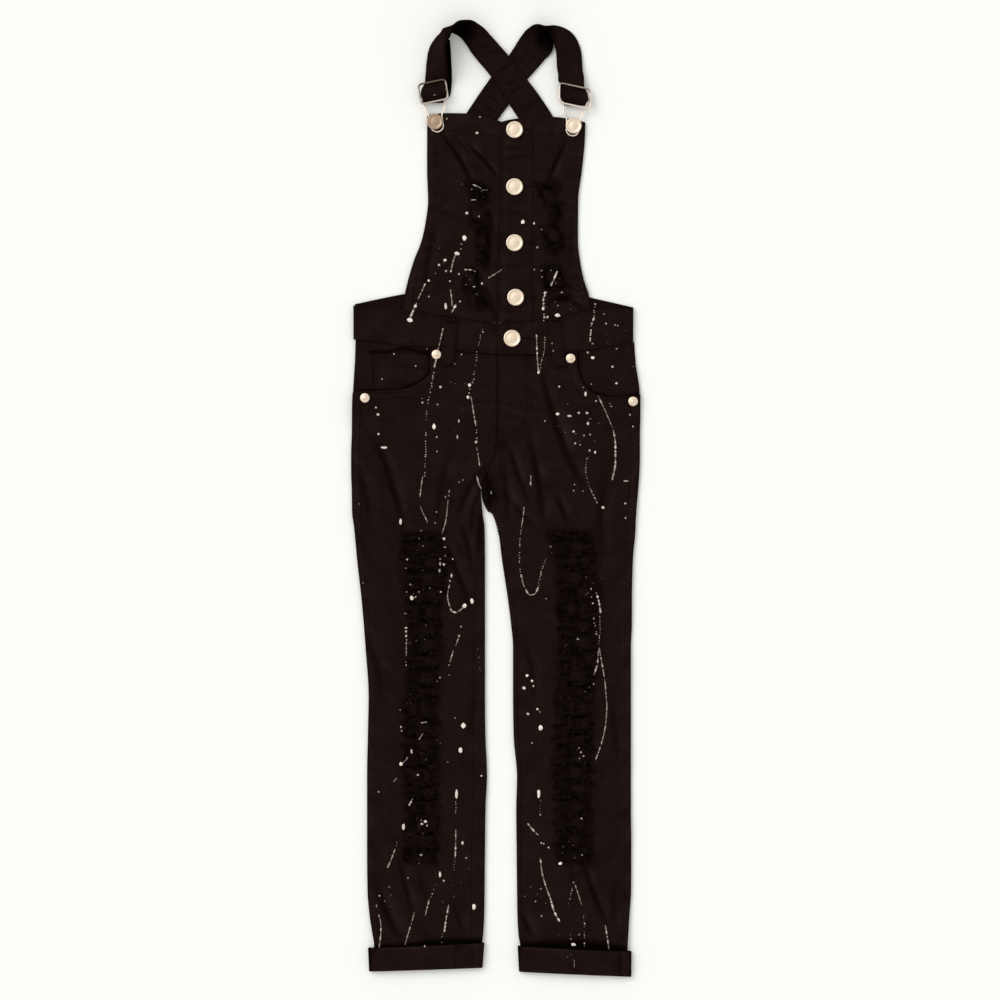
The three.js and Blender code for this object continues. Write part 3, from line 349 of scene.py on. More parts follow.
BIB_RIPS = {
    "right": [
        (468, 483, 188, 3.4), (471, 483, 203, 2.6), (472, 483, 226, 3.2), (474, 483, 246, 2.6),
        (476, 484, 264, 3), (465, 482, 290, 3.6),
    ],
    "left": [
        (538, 559, 186, 3.2), (546, 560, 204, 2.8), (546, 560, 246, 3), (543, 559, 267.4, 3.4),
        (545, 560, 287.6, 3.4),
    ],
}

# The bib's worn patches, dark both as wear and as painted shade, and the whole cloth left inside them:
# middle, half width and half height
BIB_WORN = [
    (478, 193, 12, 11), (481, 220, 12, 16), (483, 246, 10, 22), (472, 280, 11, 15), (481, 301, 8, 12),
    (549, 191, 14, 9), (556, 213, 9, 14), (554, 240, 13, 17), (553, 277, 14, 17), (560, 299, 10, 5),
]
BIB_WHOLE = [
    (478, 214, 6, 7), (481, 240, 5, 6), (470, 280, 4.6, 6.4), (548, 195, 6, 5), (553, 235, 6, 7),
    (551, 277, 5, 6),
]

# Lines along which the bib is worn through, dark both as wear and as painted shade: places and width
BIB_WEAR = [
    ([(467, 183), (478, 186), (488, 190)], 4.2), ([(481, 192), (486, 200)], 4.5),
    ([(474, 200), (481, 204)], 2.4), ([(488.6, 211), (491.4, 229)], 2.3),
    ([(470.7, 207), (469.4, 227)], 1.8), ([(472, 221), (484, 227), (490, 232)], 2.6),
    ([(477, 231), (478.6, 241)], 2.6), ([(488, 235), (489.3, 248)], 2),
    ([(482, 252), (488.6, 258), (485.7, 269)], 2.6), ([(478, 262), (484, 266)], 2.8),
    ([(466, 269), (478, 272)], 2.2), ([(476.4, 274), (478, 284)], 2.2), ([(465, 277), (463.6, 287)], 1.7),
    ([(465.7, 289), (475, 291.5), (484, 289)], 2.8), ([(466, 292), (471, 306)], 1.8),
    ([(482.9, 296), (488.6, 308)], 2.4), ([(535.7, 184), (547, 186.4), (560, 185.7)], 3),
    ([(552.9, 180), (558.6, 186)], 3.2), ([(540, 189), (541.6, 197)], 2.3),
    ([(543, 198.6), (547, 203), (566.4, 203.6)], 2.2), ([(545, 207), (553, 205.6)], 2.6),
    ([(555.7, 206), (558.6, 214), (555, 224)], 2.1),
    ([(541.4, 227.5), (548.6, 224), (557, 227), (562, 235.7), (563.6, 247)], 2.1),
    ([(543, 232), (548.6, 241.4), (555.7, 247), (565, 246.4)], 2.3), ([(554.3, 248), (555.7, 255)], 2),
    ([(542.9, 266.4), (548.6, 268), (559, 267)], 2.8), ([(542.9, 271), (545.7, 283)], 1.6),
    ([(560, 273), (565.7, 286)], 1.7), ([(545, 288), (551.4, 287), (558.6, 288), (569, 286.4)], 2.6),
    ([(558.6, 298), (567, 298.6)], 2.2), ([(550, 292), (549.3, 306)], 1.6),
]

# Creases: places along each, its width and its depth, with a low ridge beside the trough
LEG_CREASES = [
    ([(372, 438), (384, 460), (397, 500), (404, 528)], 5, 1.5), ([(360, 470), (370, 520)], 5, 0.7),
    ([(448, 455), (440, 490), (437, 520)], 6, 0.6), ([(490, 462), (470, 486), (455, 520)], 4.5, 0.9),
    ([(486, 476), (474, 506), (470, 540)], 4, 0.9), ([(446, 545), (458, 575), (471, 606)], 4.5, 1.3),
    ([(460, 520), (468, 545), (472, 570)], 4, 0.8), ([(366, 640), (378, 668), (382, 700)], 6, 0.6),
    ([(476, 690), (468, 740)], 5, 0.5), ([(399, 856), (405, 886), (412, 912)], 4, 0.9),
    ([(378, 888), (386, 912), (398, 936)], 5, 1.3), ([(420, 872), (426, 900)], 5, 0.5),
    ([(452, 900), (464, 934)], 4.5, 0.6), ([(541, 372), (554, 418), (566, 452), (584, 488)], 5, 1.6),
    ([(529, 436), (540, 488), (543, 520)], 4.5, 1.5), ([(509, 446), (516, 470), (528, 500)], 4, 1.1),
    ([(556, 494), (567, 522)], 4, 1.2), ([(500, 458), (506, 484), (508, 520)], 4, 0.9),
    ([(606, 470), (600, 520), (602, 556)], 6, 0.7), ([(498, 486), (520, 512), (536, 530)], 4, 0.8),
    ([(524, 640), (532, 668), (534, 700)], 5, 0.6), ([(612, 700), (618, 760)], 6, 0.5),
    ([(580, 852), (590, 884), (606, 924)], 4, 1.5), ([(570, 862), (576, 890)], 4, 0.6),
    ([(522, 915), (532, 936)], 4, 0.9), ([(616, 880), (612, 930)], 5, 0.6),
]
BIB_CREASES = [
    ([(442, 134), (458, 156), (472, 182)], 3.4, 1.5), ([(464, 141), (484, 160), (500, 180)], 3, 1.3),
    ([(456, 138), (470, 154)], 2.6, 0.6), ([(566, 141), (556, 162), (547, 184)], 3.4, 1.4),
    ([(436, 226), (428, 260), (424, 292)], 5, 0.7), ([(486, 286), (492, 306), (499, 326)], 3.4, 0.9),
    ([(440, 210), (456, 216)], 4, 0.4), ([(566, 292), (576, 304), (588, 312)], 3.4, 0.9),
    ([(572, 228), (570, 268)], 4, 0.5), ([(506, 150), (526, 147)], 3, 0.4),
    ([(508, 158), (530, 156)], 3, 0.4), ([(505, 210), (528, 216)], 3.4, 0.35),
    ([(504, 270), (528, 262)], 3.4, 0.35),
]
STRAP_CREASES = [
    ([(476, 48), (490, 43)], 2, 0.8), ([(482, 56), (499, 49)], 2, 0.7), ([(497, 73), (512, 62)], 2, 0.9),
    ([(503, 86), (519, 77)], 2.2, 0.8), ([(511, 92), (527, 84)], 2, 0.8),
    ([(520, 110), (538, 101)], 2.2, 0.7), ([(524, 48), (538, 60)], 2.2, 0.8),
    ([(519, 60), (532, 70)], 2, 0.6), ([(486, 92), (500, 104)], 2, 0.9),
    ([(480, 100), (494, 112)], 2.2, 0.8), ([(474, 107), (488, 119)], 2, 0.6),
    ([(433, 62), (446, 58)], 2, 0.5), ([(559, 62), (582, 58)], 2.2, 0.5),
    ([(560, 74), (584, 70)], 2.2, 0.5),
]

# Sewing lines as places along each
STITCHING = [
    [(429, 128.5), (444, 129.7), (470, 133), (499, 137)], [(503, 137), (535, 135), (570, 133), (584, 134)],
    [(434, 132), (434, 200), (432, 222), (427.5, 242), (421, 260), (414, 284), (411, 308)],
    [(578.5, 136), (575.5, 170), (571.8, 200), (571.5, 240),
     (573.8, 262), (577.5, 280), (582, 296), (584.5, 308)], [(532.6, 120), (532.6, 316)],
    [(504, 122), (503.4, 205), (501.6, 275), (500.6, 319)],
    [(356, 308), (404, 313), (455, 321), (497, 325.6)], [(501, 325.6), (560, 319), (592, 313), (631, 311)],
    [(358, 337.6), (437, 346.2), (496, 351.2)], [(500, 351.4), (545, 352.2), (590, 347.2), (631, 339.6)],
    [(358, 306), (404, 296.4), (450, 289)], [(548, 290), (588, 299.4), (632, 308.4)],
    [(446.4, 319), (445.2, 331), (444.4, 346), (443.6, 365)],
    [(455.8, 321), (454.6, 332), (453.2, 347), (451.6, 365)],
    [(550.4, 320), (552, 334), (553.8, 348), (555.8, 366)],
    [(558.4, 319), (560.4, 333), (561.8, 347), (564.2, 366)],
    [(432.2, 353), (432.2, 373), (423, 384), (400, 392.4), (371, 393.6), (356, 394.2)],
    [(437.6, 362), (437.4, 376), (426.6, 388.4), (402, 397.6), (372, 399)],
    [(574.8, 358), (576.6, 375), (581.4, 386), (594, 396.4), (611, 399.8), (636, 397.2)],
    [(569.4, 366), (571.4, 377), (577, 389.6), (592, 401.4), (611, 405), (628, 403.4)],
    [(377, 357), (428, 359)], [(377, 366), (428, 368)], [(377.4, 354), (377.4, 390)],
    [(526, 357), (527, 405), (521, 424), (508, 434), (499.6, 437)],
    [(530, 357), (531, 406), (524.6, 427), (510, 438), (499.6, 441)], [(499.8, 357), (499.6, 434)],
    [(498.6, 446), (495.6, 457), (490, 474), (485, 492)],
    [(495, 446), (492.4, 457), (487.4, 470), (481.6, 488)],
    [(360.4, 404), (359.4, 460), (360, 500), (364, 560), (371, 640),
     (375, 700), (373.6, 780), (373.8, 880), (379, 940)],
    [(630.6, 408), (631, 450), (629, 500), (626, 560), (625, 620),
     (624, 700), (624, 800), (624.4, 890), (621, 942)],
    [(478, 530), (474.6, 600), (472.8, 700), (473, 775), (471.6, 850), (470.6, 938)],
    [(495.6, 522), (505, 560), (512, 600), (517, 648), (517, 700), (520.6, 780), (520.6, 860), (522, 940)],
    [(616, 954), (615.4, 974)], [(472, 946), (472, 967)],
]
BAR_TACKS = [
    ((446, 322), (454, 323)), ((443.6, 364.4), (451.6, 365)), ((552, 321.6), (559, 320.8)),
    ((556.4, 366), (563.6, 366)), ((432, 350.6), (436, 360)), ((575, 352), (571, 362)),
]
BUTTONHOLE = (8.6, 20.6)  # from the button's middle to each end

# Paint: streaks and chains of drops as places and width, and drops as place, width and any other length
STREAKS = [
    ([(443, 329), (440, 342), (437, 353)], 1.5), ([(437, 354), (436, 360), (434.5, 367)], 2.2),
    ([(422.5, 478), (421, 488), (420, 497)], 1.4), ([(421, 508), (424, 515), (427, 521)], 1.3),
    ([(471, 397), (472.6, 406), (474, 415), (476, 426)], 1.5),
    ([(477, 449), (478.4, 457), (479.5, 465)], 1.3), ([(477, 477), (479, 484), (482, 490)], 1.4),
    ([(447.6, 506), (446, 520), (442, 534)], 1.2), ([(536.6, 336), (537.2, 355), (538.4, 371)], 1.5),
    ([(594, 318), (591, 326)], 1.8), ([(599, 398), (604, 408), (612.5, 427.5)], 1.3),
    ([(613.5, 430), (615.5, 445), (615.5, 462), (612.3, 480)], 1.9), ([(531, 476), (530.6, 484)], 1.4),
    ([(524, 508), (523, 518), (521.6, 526)], 1.2),
    ([(521.4, 576), (523, 583), (526, 590), (530, 595), (534.6, 594), (538, 588)], 1.7),
    ([(424.6, 285), (421, 293), (417.5, 300)], 1.4), ([(416, 304.5), (413, 311), (410.5, 317)], 2.6),
    ([(456, 253), (453, 262), (451, 271)], 2), ([(450.5, 290), (451.6, 298), (452.2, 306)], 1.4),
    ([(455.6, 305), (453, 310), (450, 314.4)], 2.2), ([(489.4, 277.4), (495, 274), (500.8, 270.4)], 1.7),
    ([(557, 272), (554, 279), (550, 288)], 2),
    ([(449.4, 585), (447.5, 596), (449.6, 606), (452, 611), (456, 612.4), (460.4, 610), (464, 606.6)], 1.7),
    ([(458, 639.4), (455.7, 646)], 1.5), ([(452.9, 652), (450, 662)], 1.4),
    ([(406.3, 643), (406.3, 654)], 1.4), ([(422, 722.8), (426, 722.2)], 1.5),
    ([(422, 735), (418, 741)], 1.4), ([(406, 760), (402, 763.6)], 1.4), ([(412, 800), (409.4, 805)], 2.2),
    ([(394.4, 851), (391, 860), (387.7, 867.5)], 1.6), ([(455.8, 831), (455.7, 843), (455.4, 855)], 1.5),
    ([(379, 916), (380.6, 923), (381, 930), (379.3, 947)], 1.4),
    ([(414, 913.5), (412.4, 920), (410.5, 926), (405, 945)], 1.3), ([(428.6, 902), (425.5, 914.5)], 1.3),
    ([(448.5, 906.5), (446, 920), (444.3, 933)], 1.6), ([(596.4, 593), (599, 602), (600.6, 612)], 1.9),
    ([(599.4, 649), (602.4, 666), (605, 682), (607, 706)], 1.4), ([(598.6, 650), (597.8, 661)], 1.7),
    ([(596.6, 667), (594.4, 674)], 1.8),
    ([(607, 706), (606, 722), (603.5, 736), (600, 748), (596, 759)], 1.3),
    ([(528, 824), (533, 830), (538, 835)], 1.9),
    ([(540.5, 860), (542, 872), (545.5, 885), (550.5, 899)], 1.6),
    ([(550.5, 899), (554.5, 912), (558.8, 920)], 2.2), ([(575.5, 886), (578.6, 895), (581, 903)], 1.3),
    ([(605.6, 927), (607.4, 938), (608.8, 949)], 1.7), ([(574, 960), (574.2, 966)], 0.9),
    ([(466, 269.6), (472, 270), (476, 272)], 1.8), ([(474, 185), (480, 187.6)], 1.5),
    ([(483, 190), (487, 190)], 1.4), ([(472, 200), (477, 199.6)], 1.4), ([(396, 779), (392.6, 783)], 1.4),
]
CHAINS = [
    ([(433.7, 370), (433, 379)], 1.3), ([(432.5, 381), (430, 392), (428.5, 400)], 1.2),
    ([(428, 403), (426.7, 410), (426, 422)], 0.9), ([(426, 433), (425.8, 448), (425.5, 463)], 1.1),
    ([(425, 464), (424.6, 476)], 1.1), ([(482.5, 330), (477.4, 350)], 1),
    ([(477, 352), (475.5, 366), (473, 382)], 1.2), ([(476.4, 430), (477, 441)], 1.4),
    ([(449, 490), (447.8, 503)], 1.1), ([(595, 304), (594, 316)], 1.5), ([(591, 328), (589.6, 343)], 1.5),
    ([(544.6, 304), (544, 320)], 1.4), ([(544.6, 337), (544.4, 350)], 1.2),
    ([(544, 352), (541.8, 360), (539.5, 373)], 1.2),
    ([(588.6, 456.6), (585.7, 465), (586.7, 477), (591.5, 491), (598.7, 505)], 1.2),
    ([(608, 402), (613, 408)], 1.3), ([(521.4, 528), (519.8, 540), (519.4, 552), (520.4, 572)], 1.1),
    ([(538.6, 585), (541.4, 572), (544, 564)], 1), ([(545.8, 559), (544, 566)], 0.9),
    ([(550, 545), (552, 556)], 0.9), ([(406.3, 637), (406.3, 643)], 1.3),
    ([(406.3, 655), (406.3, 665)], 1.2), ([(477.5, 650), (480, 671)], 0.9),
    ([(600.2, 617), (600, 630), (598.6, 644)], 1.1), ([(594, 616), (594.7, 623), (596.4, 634)], 1.3),
    ([(550, 288), (545, 294)], 1.3), ([(545.4, 293), (543.4, 301), (543.6, 309)], 2.2),
    ([(397, 843), (395, 849)], 0.9), ([(456, 802), (455.6, 813)], 1), ([(455.3, 857), (454, 870)], 0.9),
    ([(436.4, 885), (432, 894), (429, 901)], 1), ([(442.4, 934), (442, 942)], 1),
    ([(567.6, 907), (570.6, 895), (573.5, 882.5)], 1.1), ([(584, 916), (584.6, 931), (584.2, 946)], 1.1),
    ([(540.6, 800), (540.2, 814)], 0.8),
]
DROPS = [
    (483, 332, 1.4, 2), (469.5, 385, 3, 3.2), (470, 389, 1.5), (469, 393, 1.4), (468, 397, 2.6, 3.2),
    (476, 442, 2.4, 2.8), (394, 354, 1.6), (415.7, 366, 1.7), (382, 379, 1.8), (427, 349, 1.4),
    (461.5, 354.5, 1.5), (455, 364, 1.3), (440.5, 387, 2.6, 2.4), (437.5, 404.5, 1.8), (422, 398.5, 1.2),
    (422.5, 402.6, 1.9), (434, 426.5, 3.4, 5.4), (436.7, 437, 1.8), (437, 451.5, 1.7),
    (458.8, 421, 1.4, 3.4), (457.4, 437, 1.5, 4), (376, 407.6, 2), (378, 414.5, 3, 2.8), (378.5, 434, 2),
    (384, 447.5, 7, 2.4), (459, 482, 1.5), (463, 480, 1.5), (445.5, 497, 1.2, 2.4), (436.5, 512, 1.6),
    (435, 523, 1.6), (359.3, 504, 1.2), (400.6, 521.5, 2.4, 6), (552, 343.5, 1.6), (553.3, 351, 1.6),
    (592.5, 343.6, 1.6), (587.8, 352.5, 2), (592.7, 357.6, 4, 3), (616.7, 348.7, 1.8), (604, 314, 1.5),
    (606, 323.6, 1.7), (615, 325, 1.6), (617.7, 325.6, 1.4), (546.6, 317.7, 1.8), (612.6, 366.7, 2.2),
    (616.6, 383.2, 2.4, 2.2), (559.2, 386.5, 2, 2.2), (583.3, 387.5, 1.6), (585.5, 394, 2.4, 4.4),
    (591.4, 384, 1.3), (596, 401, 1.8), (557.6, 414, 3.6, 2.6), (569.5, 416, 4.2, 2.4),
    (578.8, 412.8, 2.4, 2), (587, 413, 2.8, 2.2), (545, 421, 1.8), (588, 423.5, 2.4, 3),
    (573.6, 431.5, 2.2, 2.4), (584, 435.5, 1.8), (590.3, 434.5, 2, 1.6), (575.2, 443.4, 1.9),
    (580, 444.8, 1.6), (589.7, 450.5, 2), (595.2, 452.3, 2, 3), (603, 507.5, 3, 2.6),
    (630, 414.8, 1.6, 1.8), (633, 426.5, 1.8), (626, 481, 5, 1.6), (625.4, 503.4, 2.2, 1.8),
    (625.6, 518, 1.6, 1.8), (574.5, 484.6, 1.4), (573.7, 490.6, 1.4), (583, 491, 1.5), (410, 320, 5.6, 4),
    (445.7, 306, 2.4, 6), (557.6, 315.2, 5.4, 4), (428.8, 280.6, 2.4), (428.8, 296.6, 1.6),
    (547.5, 317, 2.2), (464.5, 238, 4.2, 5.4), (445, 260, 3.2, 2.6), (439, 265, 2.2), (446, 271, 2),
    (459, 274, 1.8), (450, 281, 1.8), (467, 213, 3, 2.4), (477, 133, 2.8, 3), (480, 117, 2, 1.6),
    (446.7, 118.6, 1.6), (434.8, 95.7, 2.4, 1.2), (522.6, 222, 3.6, 4), (534, 223.5, 2, 2.2),
    (537.4, 247.4, 2, 2.2), (558, 305.6, 1.5), (534.4, 269.6, 1.6, 1.4), (457, 253.5, 5, 3.4),
    (479, 216.4, 1.4, 1.8), (461, 249, 1.4), (461.4, 244, 1.2), (471.6, 189.4, 1.6), (460, 301.4, 1.8),
    (482, 283.4, 2, 2.6), (474, 286.6, 2.6, 1.3), (562, 292.4, 2.4, 1.8), (541.6, 270.6, 1.6),
    (542, 277, 1.6), (550.8, 270.4, 1.5, 1.2), (541.6, 229.6, 1.4, 1.2), (464.5, 606, 4.2, 4.4),
    (472, 601, 3.4, 5.4), (411.8, 598, 3.6, 5), (415.6, 597, 1.8, 1.4), (452.8, 559, 1.7),
    (407.2, 559.5, 2), (405.8, 568.2, 1.8, 1.5), (444.1, 538.6, 3.2, 2.8), (445, 547.2, 2.2, 1.7),
    (445.2, 555.8, 1.8), (440.2, 559, 1.4), (440.1, 563.7, 1.8, 3.6), (443.9, 564.5, 2.6, 2.4),
    (439.4, 570.7, 2.2, 3.8), (451.4, 575.7, 2.2, 3.8), (450, 580.9, 1.5, 1.8), (421.3, 530.7, 1.5),
    (419.3, 538.6, 1.3), (423, 546, 1.1), (410.2, 584.6, 1.4, 1.5), (406.5, 592, 1.5),
    (419, 592, 1.8, 1.5), (429.7, 588.5, 1.1, 1.8), (440.7, 592, 2.2, 2), (406, 628, 2.6, 2.2),
    (406, 631.5, 2.2, 2.4), (406.2, 636, 2, 2.6), (405.4, 613.6, 2.6, 1.1), (461, 626.7, 1.5, 1.9),
    (459, 636, 2, 2.6), (363, 583, 1.1), (449, 665.3, 1.4, 1.6), (449.3, 675, 1.2, 1.4),
    (440, 677.6, 1.8, 2), (437, 681.4, 1.4, 1), (463.5, 725.5, 4.4, 5.4), (460.4, 750, 3.8, 5.2),
    (455, 718, 1.4), (400.3, 710, 1.3, 1.4), (401, 727, 1.6, 2.4), (401.5, 731, 1.5, 1.6),
    (401, 764, 3.2, 3.8), (411.6, 751.6, 2.2, 4.8), (407, 758, 1.4, 1.8), (378.6, 792, 2, 1.4),
    (418, 775, 2.2, 2), (447.8, 762, 1.3), (481.4, 776, 1.9), (403.5, 827, 3, 6), (422, 824, 2.8, 2.2),
    (425.5, 821.5, 3.2, 2.8), (427, 825.5, 1.8, 2.2), (421.4, 820.4, 1.5, 1.3), (421.3, 855, 2.4, 2.2),
    (456.5, 794, 2.6, 10), (466.3, 858, 1.6), (462.6, 843, 2.6, 3.2), (440, 874.6, 2.2, 6),
    (408, 878, 1.7), (389.3, 887, 1.4), (379.5, 896, 2.2, 1.8), (443.8, 880.7, 1.8), (474, 907, 3.6, 5.4),
    (424.9, 945.6, 1.6), (591.2, 588.9, 1.4, 1.6), (591.4, 597, 1.6), (592.9, 603.3, 1.8),
    (596.4, 634, 1.8, 2.2), (593.6, 684, 1.4, 2), (577.9, 639.3, 2.6, 1.3), (551, 546.4, 1.3),
    (541, 572.6, 1.4), (546, 598.7, 1.6, 1.4), (527, 675.6, 2.8, 2.6), (524, 688, 3.4, 3), (532, 681, 2.4),
    (533.4, 686, 1.6, 2), (537.5, 709, 2.2), (540, 712, 1.3, 1.5), (528, 714, 2.8, 2.6), (532, 743, 1.7),
    (540.6, 728, 4.2, 5.2), (579, 748, 1.6, 1.8), (581, 752.5, 2.2, 2.6), (583.6, 756, 1.8, 2),
    (579.4, 758.4, 1.5), (538.7, 793.6, 3, 8), (540.3, 815, 1.5), (541.4, 843, 1.7), (543.8, 843.8, 1.5),
    (548.6, 847.7, 1.8), (560.4, 863.6, 3.8, 2.8), (582, 855, 1.4), (581.4, 818.5, 1.6),
    (541, 889, 1.4, 2), (535.5, 901.5, 1.6, 2), (541.6, 916, 1.5), (573.4, 944.5, 4.6, 3), (571, 939, 1.3),
    (579, 935, 1.3), (491.2, 492.6, 1.1, 3.4), (538.6, 372.4, 2.6, 3), (376.5, 906, 1.3, 2.8),
]
SPECKS = [  # fine spray: middle, spread and how many
    (424, 560, 9, 4), (412, 592, 5, 4), (430, 636, 9, 4), (408, 700, 6, 5), (432, 742, 8, 4),
    (420, 824, 6, 7), (428, 856, 7, 3), (590, 580, 6, 5), (572, 640, 9, 5), (590, 690, 7, 4),
    (582, 752, 7, 5), (575, 850, 9, 6), (476, 192, 6, 5), (473, 279, 6, 5), (553, 278, 7, 6),
    (580, 428, 13, 10), (452, 400, 13, 7), (446, 884, 12, 8), (384, 902, 7, 4), (540, 896, 8, 5),
    (572, 942, 7, 5), (448, 270, 10, 6), (556, 310, 9, 5), (610, 340, 12, 5),
]


class ClothSettings(bpy.types.PropertyGroup):
    """Weave and colours of the denim and its sewing"""

    cell: FloatProperty(name="Cell", description="Width of a mesh cell in the cloth", default=1.8 * MM,
                        min=1.0 * MM, max=6.0 * MM, unit="LENGTH")
    twill: FloatProperty(name="Twill", description="Distance between the diagonal ribs of the weave",
                         default=0.95 * MM, min=0.3 * MM, max=4.0 * MM, unit="LENGTH")
    colour: FloatVectorProperty(name="Denim", description="Colour of the outside of the cloth", size=3,
                                default=(0.0100, 0.0053, 0.0045), subtype="COLOR")
    faded: FloatVectorProperty(name="Faded", size=3, default=(0.0220, 0.0128, 0.0108), subtype="COLOR",
                               description="Colour on edges and ridges, where the dye has rubbed off")
    # near black, so that the inside stands as painted shade where it shows through the rips; the painted
    # shade mark also mixes to it
    inside: FloatVectorProperty(name="Inside", description="Colour of the inside and of torn yarn", size=3,
                                default=(0.0017, 0.0010, 0.0008), subtype="COLOR")
    stitch: FloatProperty(name="Stitch", description="Length from one stitch to the next", default=3.1 * MM,
                          min=1.5 * MM, max=6.0 * MM, unit="LENGTH")
    thread: FloatVectorProperty(name="Thread", description="Colour of the sewing thread", size=3,
                                default=(0.0078, 0.0044, 0.0038), subtype="COLOR")


class RipSettings(bpy.types.PropertyGroup):
    """How ragged the rips are"""

    yarns: IntProperty(name="Yarns", description="Loose yarns across each rip", default=8, min=0, max=20)
    hairs: IntProperty(name="Hairs", description="Frayed hairs round each rip", default=60, min=0, max=90)
    seed: IntProperty(name="Seed", description="Changes how the yarns fall", default=7, min=0)


class MetalSettings(bpy.types.PropertyGroup):
    """Colours of the plated fittings"""

    plate: FloatVectorProperty(name="Plate", description="Colour of the buttons, rivets and buckles", size=3,
                               default=(0.86, 0.71, 0.56), subtype="COLOR")
    worn: FloatVectorProperty(name="Worn plate", description="Colour of the browner bib button", size=3,
                              default=(0.43, 0.31, 0.215), subtype="COLOR")
    wire: FloatVectorProperty(name="Wire", description="Colour of the wire slides and hooks", size=3,
                              default=(0.90, 0.79, 0.69), subtype="COLOR")
    # painted reflection: the colour the wire takes where it would mirror the dark strap
    dull: FloatVectorProperty(name="Dull wire", size=3, default=(0.153, 0.113, 0.083), subtype="COLOR",
                              description="Colour of the wire where the strap has darkened it")
    roughness: FloatProperty(name="Roughness", description="Roughness of the plating", default=0.46, min=0.05,
                             max=1.0, subtype="FACTOR")


class PaintSettings(bpy.types.PropertyGroup):
    """The spattered paint"""

    colour: FloatVectorProperty(name="Paint", description="Colour of the paint", size=3,
                                default=(0.92, 0.81, 0.71), subtype="COLOR")
    soaked: FloatVectorProperty(name="Thin paint", description="Colour of paint so thin that it soaked in",
                                size=3, default=(0.16, 0.12, 0.095), subtype="COLOR")
    height: FloatProperty(name="Height", description="How far a dried drop stands off the cloth",
                          default=0.35 * MM, min=0.05 * MM, max=1.0 * MM, unit="LENGTH")
    seed: IntProperty(name="Seed", description="Changes the outlines of the drops", default=11, min=0)


class StageSettings(bpy.types.PropertyGroup):
    """Floor, light and camera"""

    floor: FloatVectorProperty(name="Floor", description="Colour of the floor", size=3,
                               default=(0.93, 0.93, 0.895), subtype="COLOR")
    height: FloatProperty(name="Camera height", description="Camera above the garment",
                          default=CAMERA_HEIGHT * MM, min=0.5, unit="LENGTH")
    lens: FloatProperty(name="Lens", description="Focal length in millimetres", default=100.0, min=20.0)
    key: FloatProperty(name="Key light", description="Strength of the soft light from the upper left",
                       default=1.25, min=0.0)
    sky: FloatProperty(name="Fill", description="Strength of the light from all round", default=0.8, min=0.0)


def ease(value, start, end):
    """Nothing before the start, one after the end, and a soft rise between"""
    part = np.clip((np.asarray(value, float) - start) / (end - start), 0, 1)
    return part * part * (3 - 2 * part)


def bell(away, width, power=2):
    """One at no distance, falling softly to nothing over about twice the width"""
    return np.exp(-(away / width) ** power)


def running(steps):
    """Sums along a line of steps, from nothing"""
    return np.concatenate([[0], np.cumsum(steps)])


def frame_places(across, down, height):
    """Places in the frame, in metres, of chart places and heights in millimetres"""
    spots = np.broadcast_arrays(np.asarray(across) - MIDDLE[0], MIDDLE[1] - np.asarray(down), height)
    return np.stack(spots, axis=-1) * MM


def drawn_in(spots):
    """Moves raised places in towards the camera, so that from there they cover their chart places"""
    spots = np.array(spots, float)
    spots[..., :2] += (CAMERA_SPOT - spots[..., :2]) * spots[..., 2:] / CAMERA_HEIGHT
    return spots


def smooth_curve(knots, values):
    """A smooth curve through the values that never swings past them"""
    knots = np.asarray(knots, float)
    values = np.asarray(values, float)
    gaps = np.diff(knots)[:, None]
    slopes = np.diff(values, axis=0) / gaps
    tangents = np.concatenate([slopes[:1], np.zeros_like(slopes[1:]), slopes[-1:]])
    same = slopes[:-1] * slopes[1:] > 0
    both = np.where(same, slopes[:-1] + slopes[1:], 1)
    tangents[1:-1] = np.where(same, 2 * slopes[:-1] * slopes[1:] / both, 0)

    def at(where):
        where = np.asarray(where, float)
        i = np.clip(np.searchsorted(knots, where, side="right") - 1, 0, len(gaps) - 1)
        p = np.clip((where - knots[i]) / gaps[i, 0], 0, 1)[..., None]
        bent = p * (1 - p) * gaps[i] * ((1 - p) * tangents[i] - p * tangents[i + 1])
        return values[i] + p * p * (3 - 2 * p) * (values[i + 1] - values[i]) + bent

    return at


def edge_curve(points):
    """Reads how far down an edge lies at any place across"""
    across, down = np.array(points, float).T
    curve = smooth_curve(across, down[:, None])
    return lambda where: curve(where)[..., 0]


